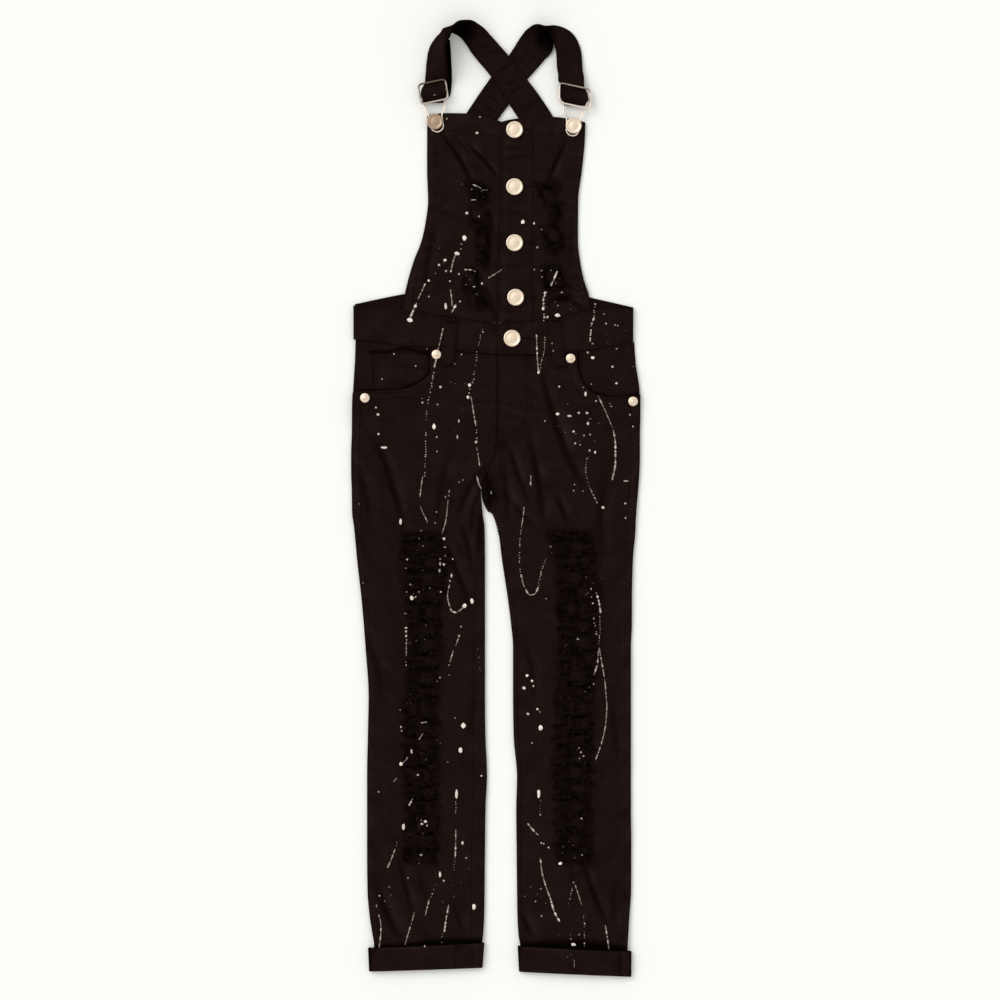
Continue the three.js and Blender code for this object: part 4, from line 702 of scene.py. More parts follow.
class Layout:
    """Chart places of a panel's grid, even in spacing and trimmed to the edges above and below it"""

    def __init__(self, sections, cell, above=None, below=None):
        rows = np.array(sections, float)
        steps = np.diff(rows, axis=0)
        reach = np.maximum(np.hypot(steps[:, 0], steps[:, 1]), np.hypot(steps[:, 2], steps[:, 3]))
        knots = running(reach)
        along = np.linspace(0, knots[-1], TRIALS)
        place = smooth_curve(knots, rows)(along)
        widths = np.hypot(place[:, 0] - place[:, 2], place[:, 1] - place[:, 3])
        part = np.linspace(0, 1, math.ceil(widths.max() / cell) + 1)
        across = place[:, :1] * (1 - part) + place[:, 2:3] * part
        down = place[:, 1:2] * (1 - part) + place[:, 3:4] * part
        start = self.trimmed(along, down - above(across) - SEAM, 0) if above else np.zeros(len(part))
        end = self.trimmed(along, below(across) - SEAM - down, -1) if below else np.full(len(part), along[-1])
        count = math.ceil((end - start).max() / cell) + 1
        spots = start + (end - start) * np.linspace(0, 1, count)[:, None]
        columns = range(len(part))
        self.across = np.stack([np.interp(spots[:, j], along, across[:, j]) for j in columns], axis=1)
        self.down = np.stack([np.interp(spots[:, j], along, down[:, j]) for j in columns], axis=1)
        self.measure()

    @staticmethod
    def trimmed(along, clear, end):
        """Where each column first, or last, comes clear of the edge that trims it"""
        found = []
        for column in clear.T:
            inside = np.flatnonzero(column >= 0)[end]
            outside = max(inside - 1, 0) if end == 0 else min(inside + 1, len(along) - 1)
            drop = column[inside] - column[outside]
            share = column[inside] / drop if drop > 0 else 0
            found.append(along[inside] + (along[outside] - along[inside]) * share)
        return np.array(found)

    def measure(self):
        """Distances in millimetres from the first, last, top and bottom edges"""
        side = np.hypot(np.diff(self.across, axis=1), np.diff(self.down, axis=1))
        fall = np.hypot(np.diff(self.across, axis=0), np.diff(self.down, axis=0))
        self.first = np.pad(np.cumsum(side, axis=1), ((0, 0), (1, 0)))
        self.last = self.first[:, -1:] - self.first
        self.top = np.pad(np.cumsum(fall, axis=0), ((1, 0), (0, 0)))
        self.bottom = self.top[-1:] - self.top

    def cut(self):
        """Flat width, length and area of the panel in metres"""
        size = (self.across.max() - self.across.min(), self.down.max() - self.down.min())
        sides = (np.s_[0, :-1], np.s_[:-1, -1], np.s_[-1, :0:-1], np.s_[:0:-1, 0])
        x, y = np.concatenate([(self.across[side], self.down[side]) for side in sides], axis=1)
        area = abs(np.dot(x, np.roll(y, 1)) - np.dot(y, np.roll(x, 1))) / 2
        return (size[0] * MM, size[1] * MM), area * MM * MM


def plumbed(tree, across, down):
    """Frame place of a chart place, and where a line dropped there first meets a mesh, if it does"""
    x, y = (across - MIDDLE[0]) * MM, (MIDDLE[1] - down) * MM
    return x, y, tree.ray_cast(Vector((x, y, LINE_TOP)), Vector((0, 0, -1)))[0]


def solid_top(node):
    """Height of a solid's upper face over any chart place, in millimetres"""
    mesh = frame["nodes"][node].data
    tree = BVHTree.FromPolygons([v.co for v in mesh.vertices], [p.vertices for p in mesh.polygons])
    ceiling = max(v.co.z for v in mesh.vertices)

    def at(across, down):
        x, y, hit = plumbed(tree, across, down)
        return (hit or tree.find_nearest(Vector((x, y, ceiling)))[0]).z / MM

    return np.vectorize(at)


def soften(field, rounds):
    for _ in range(rounds):
        wide = np.pad(field, 1, mode="edge")
        beside = wide[:-2, 1:-1] + wide[2:, 1:-1] + wide[1:-1, :-2] + wide[1:-1, 2:]
        field = (beside + 4 * field) / 8
    return field


def nearest_on(path, across, down):
    """Distance from a line of places, the same with a sign for its side, and the share of the line passed"""
    points = np.array(path, float)
    runs = np.diff(points, axis=0)
    lengths = np.hypot(*runs.T)
    starts = running(lengths)
    nearest = np.full(across.shape, np.inf)
    signed = np.zeros_like(across)
    share = np.zeros_like(across)
    for (x, y), (dx, dy), length, start in zip(points, runs, lengths, starts):
        part = np.clip(((across - x) * dx + (down - y) * dy) / length ** 2, 0, 1)
        aside, below = across - x - part * dx, down - y - part * dy
        away = np.hypot(aside, below)
        closer = away < nearest
        nearest = np.where(closer, away, nearest)
        signed = np.where(closer, np.copysign(away, aside * dy - below * dx), signed)
        share = np.where(closer, (start + part * length) / starts[-1], share)
    return nearest, signed, share


def creased(across, down, creases):
    """Sum of soft troughs, each with a ridge beside it, that fade out at both ends"""
    total = np.zeros_like(across)
    for path, width, depth in creases:
        _, signed, share = nearest_on(path, across, down)
        taper = np.sin(np.pi * np.clip(share, 0.03, 0.97)) ** 0.6
        trough = bell(signed, 0.6 * width)
        ridge = bell(signed - 1.4 * width, width)
        total += depth * taper * (0.7 * ridge - trough)
    return total


def worn_lines(across, down, lines):
    """How worn the cloth is along listed lines: one on a line, nothing well away from it"""
    worn = np.zeros_like(across)
    for path, width in lines:
        wander = 0.5 * np.sin(down * 1.9 + across * 0.7) + 0.4 * np.sin(across * 2.3 - down * 0.9)
        away = nearest_on(path, across, down)[0] + wander
        worn = np.maximum(worn, 1 - ease(away, 0.5 * width, 1.3 * width))
    return worn


def oval_sum(across, down, ovals):
    """One inside any of the soft-edged ovals"""
    total = np.zeros_like(across)
    for middle, level, wide, tall in ovals:
        away = np.hypot((across - middle) / wide, (down - level) / tall)
        total = np.maximum(total, 1 - ease(away, 0.45, 1.2))
    return total


def wave_sum(across, down, seed, count, size, lengths):
    """Straight waves in chance directions, added up, each as long as a drawn number of sizes"""
    draw = random.Random(seed)
    total = np.zeros_like(across)
    for _ in range(count):
        length = size * draw.uniform(*lengths)
        turn, phase = draw.uniform(0, math.tau), draw.uniform(0, math.tau)
        total += np.sin((across * math.cos(turn) + down * math.sin(turn)) * math.tau / length + phase)
    return total


def rippled(across, down, height, seed):
    """Slow uneven waves of lying cloth"""
    return wave_sum(across, down, seed, 9, 1, (16, 70)) * height / 3


def mottled(across, down, size, seed):
    """Uneven blotches between nothing and one, about a given size across"""
    return 0.5 + 0.5 * np.tanh(wave_sum(across, down, seed, 16, size, (1.2, 3)) / 3.4)


def pitted(shade, across, down, pits, power=2):
    """The shade, made darker in soft-edged pits"""
    for middle, level, wide, tall, dark in pits:
        away = ((across - middle) / wide) ** power + ((down - level) / tall) ** power
        shade = np.maximum(shade, dark * np.exp(-away))
    return shade


def hemmed(away, along, hem, seed):
    """A doubled edge: raised as far as its stitching, and puckered there"""
    width, rise, pucker = HEMS[hem]
    draw = random.Random(seed)
    pairs = [(draw.uniform(6.5, 15), draw.uniform(0, math.tau)) for _ in range(3)]
    waves = sum(np.sin(along * math.tau / length + phase) for length, phase in pairs)
    step = rise * (1 - ease(away, width - 1.2, width + 1.2))
    return step + pucker * waves * bell(away - width, 4.5) - 0.45 * (1 - ease(away, 0, 2.2))


def strip_edges(side, down):
    """Where a leg's worn strip starts and ends across it, at any place down it"""
    downs, starts, ends = np.array(WORN[side], float).T
    return np.interp(down, downs, starts), np.interp(down, downs, ends)


def worn_rips(side):
    """Rips down a leg's worn strip: from, to, down and gape"""
    first, last = WORN[side][0][0], WORN[side][-1][0]
    rips = []
    for i in range(int((last - first) / RIP_PITCH) + 1):
        shift = RIP_SHIFTS[i % len(RIP_SHIFTS)]
        down = first + i * RIP_PITCH + shift / 2
        start, end = strip_edges(side, down)
        rips.append((start + shift, end + shift / 2, down, RIP_GAPES[i % len(RIP_GAPES)]))
    return rips


def worn_share(across, down, side):
    """How worn a leg is: one inside its strip of rips, with an uneven border"""
    first, last = WORN[side][0][0], WORN[side][-1][0]
    start, end = strip_edges(side, down)
    wander = 5 * mottled(across, down, 7, SEEDS["strip"]) - 2.5
    left, right = start + wander, end - wander - 2
    within = ease(across, left - 4, left + 3) * (1 - ease(across, right - 3, right + 4))
    return within * ease(down, first - 10, first - 3) * (1 - ease(down, last + 3, last + 10))


def worn_islands(across, down, side):
    """Patches of whole cloth left between the rips: one in a patch, nothing outside"""
    draw = random.Random(side)
    whole = np.zeros_like(across)
    rips = worn_rips(side)
    for (start, end, upper, gape), (_, _, lower, _) in zip(rips, rips[1:]):
        middle = (start + end) / 2 + draw.uniform(-1, 5)
        patches = [(middle, draw.uniform(5, 7.5))]
        if draw.random() < 0.3:
            patches = [
                (middle - draw.uniform(6, 8), draw.uniform(2.5, 4)),
                (middle + draw.uniform(5, 7), draw.uniform(2.5, 4.5)),
            ]
        for place, half in patches:
            level = (upper + lower) / 2 + draw.uniform(-1, 1)
            tall = (lower - upper - gape) / 2
            away = (np.abs((across - place) / half) ** 3 + np.abs((down - level) / tall) ** 3) ** (1 / 3)
            whole = np.maximum(whole, 1 - ease(away, 0.55, 1.15))
    return whole


def open_rips(layout, rips, seed):
    """Spreads one row of cells to each rip's lens shape, and lists the cells to take out"""
    draw = np.random.default_rng(seed)
    count = len(layout.down)
    rows, moves, gone = [0], [np.zeros_like(layout.down[0])], []
    lips = np.zeros_like(layout.down)
    for start, end, down, gape in sorted(rips, key=lambda rip: rip[2]):
        middle = np.argmin(np.abs(layout.across[count // 2] - (start + end) / 2))
        row = int(np.searchsorted(layout.down[:, middle], down)) - 1
        part = (layout.across[row] - start) / (end - start)
        within = (part > 0) & (part < 1)
        ragged = draw.uniform(0.82, 1.12, (2, len(part)))
        upper = down - np.interp(part, *RIP_UPPER) * ragged[0] * gape / 2
        lower = down + np.interp(part, *RIP_LOWER) * ragged[1] * gape / 2
        before = max(rows[-1] + 1, row - RIP_REACH)
        if before < row and len(rows) == 1:
            rows.append(before)
            moves.append(np.zeros_like(part))
        rows += [row, row + 1]
        moves += [np.where(within, edge - layout.down[row + k], 0) for k, edge in ((0, upper), (1, lower))]
        lips[row:row + 2] += np.where(within, LIP_RISE * np.sin(np.pi * np.clip(part, 0, 1)), 0)
        gone += [(row, j) for j in range(len(part) - 1) if within[j] and within[j + 1]]
    rows += [min(rows[-1] + RIP_REACH, count - 1)]
    moves += [np.zeros_like(moves[0])]
    stack = np.array(moves)
    shift = [np.interp(np.arange(count), rows, stack[:, j]) for j in range(stack.shape[1])]
    layout.down = layout.down + np.stack(shift, axis=1)
    return lips, set(gone)


def linked(name, data):
    """A new object in the scene"""
    thing = bpy.data.objects.new(name, data)
    bpy.context.scene.collection.objects.link(thing)
    return thing


def mark_points(mesh, name, values):
    """Writes one number on each point, for a material to read"""
    numbers = np.asarray(values, np.float32).ravel()
    mesh.attributes.new(name, "FLOAT", "POINT").data.foreach_set("value", numbers)


def sew(node, points, lengths, thickness, materials, gone=(), marks=None, middle=False, ring=False):
    """One piece of cloth from its grid of places, with its thickness, standing for its solid"""
    rows, columns = points.shape[:2]
    bm = bmesh.new()
    bmesh.ops.create_grid(bm, x_segments=columns - 1, y_segments=rows - 1, size=1)
    for vert, spot in zip(bm.verts, points.reshape(-1, 3)):
        vert.co = spot
    if gone:
        corners = {row * columns + column for row, column in gone}
        torn = [f for f in bm.faces if min(v.index for v in f.verts) in corners]
        bmesh.ops.delete(bm, geom=torn, context="FACES")
    bm.normal_update()
    heart = Vector(points.reshape(-1, 3).mean(axis=0)) if ring else Vector((0, 0, -1))
    if sum(f.normal.dot(f.calc_center_median() - heart) * f.calc_area() for f in bm.faces) < 0:
        bmesh.ops.reverse_faces(bm, faces=bm.faces)
    name = "sewn_" + node
    mesh = bpy.data.meshes.new(name)
    bm.to_mesh(mesh)
    bm.free()
    corner = np.zeros(len(mesh.loops), int)
    mesh.loops.foreach_get("vertex_index", corner)
    weave = mesh.uv_layers.new(name="weave")
    weave.data.foreach_set("uv", (lengths.reshape(-1, 2) * MM)[corner].ravel())
    for mark, values in {"torn": 0, "faded": 0, "shade": 0, **(marks or {})}.items():
        mark_points(mesh, mark, np.broadcast_to(values, (rows, columns)))
    for material in materials:
        mesh.materials.append(material)
    piece = linked(name, mesh)
    shell = piece.modifiers.new("Thickness", "SOLIDIFY")
    shell.thickness = thickness * MM
    shell.offset = 0 if middle else -1
    shell.material_offset = len(materials) - 1
    settle(piece)
    return attach(piece, "denim", node)


def settle(piece):
    """Makes a piece's modifiers part of its mesh, with soft shading up to its sharp edges"""
    bpy.context.view_layer.update()
    whole = bpy.data.meshes.new_from_object(piece.evaluated_get(bpy.context.evaluated_depsgraph_get()))
    piece.modifiers.clear()
    piece.data, old = whole, piece.data
    whole.name = piece.name
    if old.users == 0:
        bpy.data.meshes.remove(old)
    soft_shading(whole)


def soft_shading(mesh, angle=50):
    mesh.polygons.foreach_set("use_smooth", np.ones(len(mesh.polygons), bool))
    mesh.set_sharp_from_angle(angle=math.radians(angle))


def attach(piece, slot, node=None):
    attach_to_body(piece, "root")
    if node:
        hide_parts(node)
    return piece


def joined_mesh(name, points, faces, material, slot):
    """One piece from arrays of many small like shapes"""
    mesh = bpy.data.meshes.new(name)
    corners = [[int(i) for i in face] for face in faces]
    mesh.from_pydata(np.asarray(points).reshape(-1, 3).tolist(), [], corners)
    mesh.materials.append(material)
    soft_shading(mesh, angle=60)
    return attach(linked(name, mesh), slot)


def new_material(name, colour, roughness, specular=0.5, metallic=0.0):
    """A material with its plain numbers on the shader, and the node tree to dress it with"""
    material = bpy.data.materials.new(name)
    material.use_nodes = True
    tree = material.node_tree
    shader = tree.nodes["Principled BSDF"]
    plain = {"Base Color": (*colour, 1), "Roughness": roughness, "Specular IOR Level": specular}
    for socket, value in {**plain, "Metallic": metallic}.items():
        shader.inputs[socket].default_value = value
    return material, tree, shader


def add_node(tree, kind, inputs=None, **options):
    made = tree.nodes.new(kind)
    for option, value in options.items():
        setattr(made, option, value)
    for socket, value in (inputs or {}).items():
        if hasattr(value, "is_linked"):
            tree.links.new(value, made.inputs[socket])
        else:
            made.inputs[socket].default_value = value
    return made


def blended(tree, share, first, second):
    """Colour between two others"""
    first, second = (c if hasattr(c, "is_linked") else (*c, 1) for c in (first, second))
    return add_node(tree, "ShaderNodeMix", {0: share, 6: first, 7: second}, data_type="RGBA").outputs[2]


def ranged(tree, value, low, high, start=0.0, end=1.0):
    spread = add_node(tree, "ShaderNodeMapRange", {"Value": value, 1: low, 2: high, 3: start, 4: end})
    return spread.outputs[0]


def combined(tree, operation, first, second, clamp=False):
    sums = add_node(tree, "ShaderNodeMath", {0: first, 1: second}, operation=operation, use_clamp=clamp)
    return sums.outputs[0]


def noise(tree, scale, detail, places=None):
    """Uneven grey over the piece's own coordinates, or over others"""
    if places is None:
        places = add_node(tree, "ShaderNodeTexCoord").outputs["Object"]
    grey = add_node(tree, "ShaderNodeTexNoise", {"Vector": places, "Scale": scale, "Detail": detail})
    return grey.outputs[0]


def marked(tree, name):
    """Reads what mark_points wrote"""
    return add_node(tree, "ShaderNodeAttribute", attribute_name=name).outputs["Fac"]


def bumped(tree, shader, height, distance, strength):
    bump = add_node(tree, "ShaderNodeBump", {"Height": height, "Distance": distance, "Strength": strength})
    tree.links.new(bump.outputs[0], shader.inputs["Normal"])


def denim_material():
    """Twill that is worn black in the torn strips, paler where its ridges have rubbed, and darkened by the
    painted shade mark
    """
    made = bpy.data.materials.get("twill")
    if made:
        return made
    cloth = bpy.context.scene.dungarees_cloth
    material, tree, shader = new_material("twill", cloth.colour, 1.0, specular=0.0)
    weave = add_node(tree, "ShaderNodeUVMap", uv_map="weave").outputs[0]
    slant = (0, 0, math.radians(58))
    turned = add_node(tree, "ShaderNodeMapping", {"Vector": weave, "Rotation": slant}).outputs[0]
    ribs = add_node(tree, "ShaderNodeTexWave", {
        "Vector": turned, "Scale": math.tau / 20 / cloth.twill, "Distortion": 2.0, "Detail": 2.0,
        "Detail Scale": 1.6,
    }).outputs["Fac"]
    grain = noise(tree, 620, 3, weave)
    patches = noise(tree, 46, 4, weave)
    deep, bright = ([share * c for c in cloth.colour] for share in (0.66, 1.42))
    speckled = blended(tree, ranged(tree, grain, 0.3, 0.7), deep, bright)
    rubbed = combined(tree, "MULTIPLY", marked(tree, "faded"), ranged(tree, patches, 0.35, 0.7))
    ridged = blended(tree, rubbed, speckled, cloth.faded)
    combed = add_node(tree, "ShaderNodeMapping", {"Vector": weave, "Scale": (0.14, 1, 1)}).outputs[0]
    fibres = ranged(tree, noise(tree, 430, 4, combed), 0.32, 0.64, 0.62, 1.12)
    ragged = combined(tree, "MULTIPLY", marked(tree, "torn"), fibres, clamp=True)
    frayed = blended(tree, ragged, ridged, cloth.inside)
    # painted shade: the shade mark pulls the colour to the near-black inside
    shaded = blended(tree, marked(tree, "shade"), frayed, cloth.inside)
    tree.links.new(shaded, shader.inputs["Base Color"])
    bumped(tree, shader, combined(tree, "ADD", ribs, grain), 0.00022, 0.6)
    return material


def plain_material(name, colour, roughness):
    """A matt material of one colour"""
    return bpy.data.materials.get(name) or new_material(name, colour, roughness, specular=0.0)[0]


# the inside faces, near black as painted shade
def inside_material():
    return plain_material("twill_inside_shaded", bpy.context.scene.dungarees_cloth.inside, 1.0)


def yarn_material():
    """Loose yarn, some of it rubbed and some still dark"""
    cloth = bpy.context.scene.dungarees_cloth
    material, tree, shader = new_material("yarn", cloth.colour, 1.0, specular=0.0)
    uneven = ranged(tree, noise(tree, 240, 2), 0.35, 0.65)
    tree.links.new(blended(tree, uneven, cloth.inside, cloth.faded), shader.inputs["Base Color"])
    return material


def metal_material(name, colour):
    """Plated metal, a little uneven"""
    made = bpy.data.materials.get(name)
    if made:
        return made
    roughness = bpy.context.scene.dungarees_metal.roughness
    material, tree, shader = new_material(name, colour, roughness, metallic=1.0)
    uneven = noise(tree, 900, 3)
    rough = ranged(tree, uneven, 0.3, 0.7, roughness - 0.1, roughness + 0.16)
    tree.links.new(rough, shader.inputs["Roughness"])
    bumped(tree, shader, uneven, 0.0002, 0.35)
    return material


def wire_material():
    """Bent wire, darkened by a painted reflection of the dark strap where its mark says"""
    made = bpy.data.materials.get("wire")
    if made:
        return made
    metal = bpy.context.scene.dungarees_metal
    material = metal_material("wire", metal.wire)
    tree = material.node_tree
    colour = blended(tree, marked(tree, "dull"), metal.wire, metal.dull)
    tree.links.new(colour, tree.nodes["Principled BSDF"].inputs["Base Color"])
    return material


def paint_material():
    settings = bpy.context.scene.dungarees_paint
    material, tree, shader = new_material("paint", settings.colour, 0.5, specular=0.4)
    dull = [0.62 * c for c in settings.colour]
    mixed = blended(tree, ranged(tree, noise(tree, 500, 3), 0.3, 0.6), dull, settings.colour)
    colour = blended(tree, marked(tree, "thin"), mixed, settings.soaked)
    tree.links.new(colour, shader.inputs["Base Color"])
    return material


def panel(node, layout, relief=0.0, thickness=DENIM, faces=None, gone=(), marks=None):
    """A flat-laid panel of cloth over its solid, with its creases, hems and ripples"""
    height = soften(solid_top(node)(layout.across, layout.down), 3) + relief
    points = frame_places(layout.across, layout.down, height)
    lengths = np.stack([layout.first, layout.top], axis=-1)
    faces = faces or [denim_material(), inside_material()]
    piece = sew(node, points, lengths, thickness, faces, gone, marks)
    flat, area = layout.cut()


def leg_sections(side, hip):
    return hip[side] + [(out, down, inseam, down) for down, out, inseam in LEG[side]]


def band_layout(reach, top, bottom, cell):
    start, end = reach
    return Layout([(start, 270, end, 270), (start, 390, end, 390)], cell, edge_curve(top), edge_curve(bottom))


def band_relief(layout, seed):
    across = layout.across
    edges = hemmed(layout.top, across, "band", seed) + hemmed(layout.bottom, across, "band", seed + 1)
    return edges + rippled(across, layout.down, 0.16, seed)


class DUNGAREES_OT_backs(bpy.types.Operator):
    """Sew the backs of the legs and of the waistband"""

    bl_idname = "dungarees.backs"
    bl_label = "Back panels"

    def execute(self, context):
        cell = context.scene.dungarees_cloth.cell / MM
        # the back legs' upper faces take the near-black inside, as painted shade where they show through the
        # rips
        faces = [inside_material(), denim_material()]
        for side in SIDES:
            layout = Layout(leg_sections(side, BACK_HIP), 1.6 * cell, above=edge_curve(BACK_BAND_BOTTOM))
            panel("back_leg_" + side, layout, faces=faces)
        layout = band_layout(BAND_REACH["back"], BACK_BAND_TOP, BACK_BAND_BOTTOM, cell)
        relief = np.clip(band_relief(layout, SEEDS["back_band"]), -0.45, 0.1)
        panel("waistband_back", layout, relief, BAND - 0.5, [denim_material()])
        return {"FINISHED"}


class DUNGAREES_OT_legs(bpy.types.Operator):
    """Sew the fronts of the legs with their worn strips and rips"""

    bl_idname = "dungarees.legs"
    bl_label = "Front legs"

    def execute(self, context):
        cell = context.scene.dungarees_cloth.cell / MM
        for number, side in enumerate(SIDES):
            layout = Layout(leg_sections(side, FRONT_HIP), cell, above=edge_curve(BAND_BOTTOM))
            lips, gone = open_rips(layout, worn_rips(side), SEEDS["leg_rips"] + number)
            across, down = layout.across, layout.down
            whole = worn_islands(across, down, side)
            worn = worn_share(across, down, side)
            banded = ease(mottled(0.28 * across, down, 3.6, SEEDS["weft"] + number), 0.15, 0.8)
            torn = worn * (1 - 0.6 * whole) * (0.55 + 0.32 * banded)
            torn = np.maximum(torn, 1.4 * lips)
            creases = creased(across, down, LEG_CREASES) * (1 - 0.7 * worn)
            inseam = hemmed(layout.last, down, "inseam", SEEDS["inseam"] + number)
            seams = hemmed(layout.first, down, "outseam", SEEDS["outseam"] + number)
            seams = seams + inseam * ease(down, *INSEAM_START)
            fuzz = np.random.default_rng(SEEDS["fuzz"] + number).normal(0, 0.22, across.shape) * torn
            waves = rippled(across, down, 0.28, SEEDS["leg"] + number)
            relief = creases + seams + lips + waves + fuzz - 0.6 * torn
            relief = relief + 0.5 * worn * whole
            marks = {
                "torn": torn, "shade": self.shade(side, layout, creases),
                "faded": np.clip(0.3 + 0.7 * (creases + seams), 0, 1),
            }
            panel("front_leg_" + side, layout, relief, gone=gone, marks=marks)
        return {"FINISHED"}

    def shade(self, side, layout, creases):
        """Painted shade under the waistband, over the turn-up, along the fly, in crease troughs and in the
        pits
        """
        across, down = layout.across, layout.down
        # painted shadows below the waistband's edge and over the turn-up's raised edge, and painted shade in
        # crease troughs
        band = np.exp(-np.clip(down - edge_curve(BAND_BOTTOM)(across), 0, 99) / 1.6)
        cuff = edge_curve(TURN_UP_EDGE[side])(across) - down
        middle, half, deep = TURN_UP_GAP_SHADE[side]
        gap = 3 + deep * bell(across - middle, half)
        shade = 0.5 * np.clip(-creases, 0, 1) + 0.5 * band + bell(np.clip(cuff, 0, 99), gap, 4)
        fly = bell(layout.last, 1.3) * (1 - ease(down, *FLY_END))
        return np.clip(np.maximum(pitted(shade, across, down, LEG_SHADE), FLY_SHADE * fly), 0, 0.95)


class DUNGAREES_OT_turn_ups(bpy.types.Operator):
    """Roll the turn-ups round the hems"""

    bl_idname = "dungarees.turn_ups"
    bl_label = "Turn-ups"

    def execute(self, context):
        for number, side in enumerate(SIDES):
            top, bottom, gape = (np.array(edge, float) for edge in TURN_UP[side])
            part = np.linspace(0, 1, TURN_UP_ROWS)[:, None]
            edges = top * (1 - part)[..., None] + bottom * part[..., None]
            start, end, down_start, down_end = np.moveaxis(edges, -1, 0)
            across, height = self.outline(start, end, part, gape)
            down = down_start + (down_end - down_start) * (across - start) / (end - start)
            waves = rippled(across, down, 0.3, SEEDS["turn_up"] + number)
            height = height + ease(height, 3, 5) * (waves + 0.25 * np.sin(part * math.pi))
            points = frame_places(across, down, height)
            girth = np.cumsum(np.linalg.norm(np.diff(points, axis=1), axis=-1), axis=1)
            lengths = np.stack(np.broadcast_arrays(
                np.pad(girth, ((0, 0), (1, 0))) / MM, part * TURN_UP_DEPTH / MM), axis=-1)
            faded = 0.3 + 0.6 * bell(part - 0.03, 0.06) + 0.5 * bell(part - 0.97, 0.06)
            shade = np.zeros_like(across)
            for middle, wide, dark in TURN_UP_SHADE[side]:
                shade = np.maximum(shade, dark * bell(across - middle, wide))
            cloth = [denim_material(), inside_material()]
            marks = {"faded": faded, "shade": shade}
            piece = sew("turn_up_" + side, points, lengths, DENIM, cloth, marks=marks, ring=True)
        return {"FINISHED"}

    def outline(self, start, end, part, gape):
        """Across and height of the rolled cloth, once round at each place down it"""
        radius = TURN_UP_SIDE / 2
        first, last = start + radius, end - radius
        over = np.linspace(0, 1, TURN_UP_OVER)
        turn = np.radians(np.linspace(-90, 90, TURN_UP_ENDS))
        puff = TURN_UP_BULGE + gape * np.interp(part, *TURN_UP_OPEN)
        mouth = bell(over - 0.5, 0.42, 4)
        rise = puff * np.sin(np.pi * over) ** 0.7 * (0.75 + 0.25 * mouth)
        stretches = (
            (first + (last - first) * over, np.zeros_like(over)),
            (last + radius * np.cos(turn), radius + radius * np.sin(turn)),
            (last + (first - last) * over, TURN_UP_SIDE + rise),
            (first - radius * np.cos(turn), radius - radius * np.sin(turn)),
        )
        rows = [np.broadcast_arrays(*stretch) for stretch in stretches]
        return [np.concatenate([row[k][:, 1:] for row in rows], axis=1) for k in (0, 1)]


class DUNGAREES_OT_waist(bpy.types.Operator):
    """Sew the front waistband and its belt loops"""

    bl_idname = "dungarees.waist"
    bl_label = "Waistband"

    def execute(self, context):
        cell = context.scene.dungarees_cloth.cell / MM
        cloth = [denim_material()]
        for number, side in enumerate(SIDES):
            layout = band_layout(BAND_REACH[side], BAND_TOP, BAND_BOTTOM, 0.9 * cell)
            relief = band_relief(layout, SEEDS["band"] + number)
            marks = {"faded": np.clip(0.35 + 0.8 * relief, 0, 1)}
            panel("waistband_front_" + side, layout, relief, BAND, cloth, marks=marks)
            layout = Layout(BELT_LOOP[side], 0.55 * cell)
            edges = np.minimum(layout.first, layout.last)
            relief = 0.35 * ease(edges, 0, 2.4) - 0.2
            marks = {"faded": 0.3 + 0.6 * np.exp(-edges / 1.2)}
            panel("belt_loop_" + side, layout, relief, DENIM, cloth, marks=marks)
        return {"FINISHED"}


def pocket_shade(layout, side):
    """Painted shade inside a pocket, just within its mouth, and along the listed gaps"""
    mouth = [(a, d) for a, d, _, _ in FRONT_HIP[side][:MOUTH_ROWS[side]]]
    away = nearest_on(mouth, layout.across, layout.down)[0]
    # blotchy strength of the painted shade at the pocket's mouth
    dye = mottled(layout.across, layout.down, 14, SEEDS["pocket_shade_blotches"])
    shade = (0.5 + 0.5 * dye) * bell(away, 2.6)
    for path, width, dark in POCKET_GAP_SHADE:
        away = nearest_on(path, layout.across, layout.down)[0]
        shade = np.maximum(shade, dark * bell(away, width))
    return shade


class DUNGAREES_OT_pockets(bpy.types.Operator):
    """Sew the pocket facings and the coin pocket"""

    bl_idname = "dungarees.pockets"
    bl_label = "Pockets"

    def execute(self, context):
        cell = context.scene.dungarees_cloth.cell / MM
        cloth = [denim_material()]
        for number, side in enumerate(SIDES):
            layout = Layout(FACING[side], cell, above=edge_curve(BAND_BOTTOM))
            relief = np.minimum(rippled(layout.across, layout.down, 0.2, SEEDS["facing"] + number), 0.2)
            marks = {"shade": pocket_shade(layout, side), "faded": 0.3}
            panel("pocket_facing_" + side, layout, relief, DENIM, cloth, marks=marks)
        layout = Layout(COIN_POCKET, 0.8 * cell)
        relief = hemmed(layout.top, layout.across, "coin", SEEDS["coin"])
        relief = relief + rippled(layout.across, layout.down, 0.2, SEEDS["coin"] + 1)
        marks = {"faded": np.clip(0.3 + relief, 0, 1), "shade": pocket_shade(layout, "right")}
        panel("coin_pocket", layout, relief, DENIM, cloth, marks=marks)
        return {"FINISHED"}


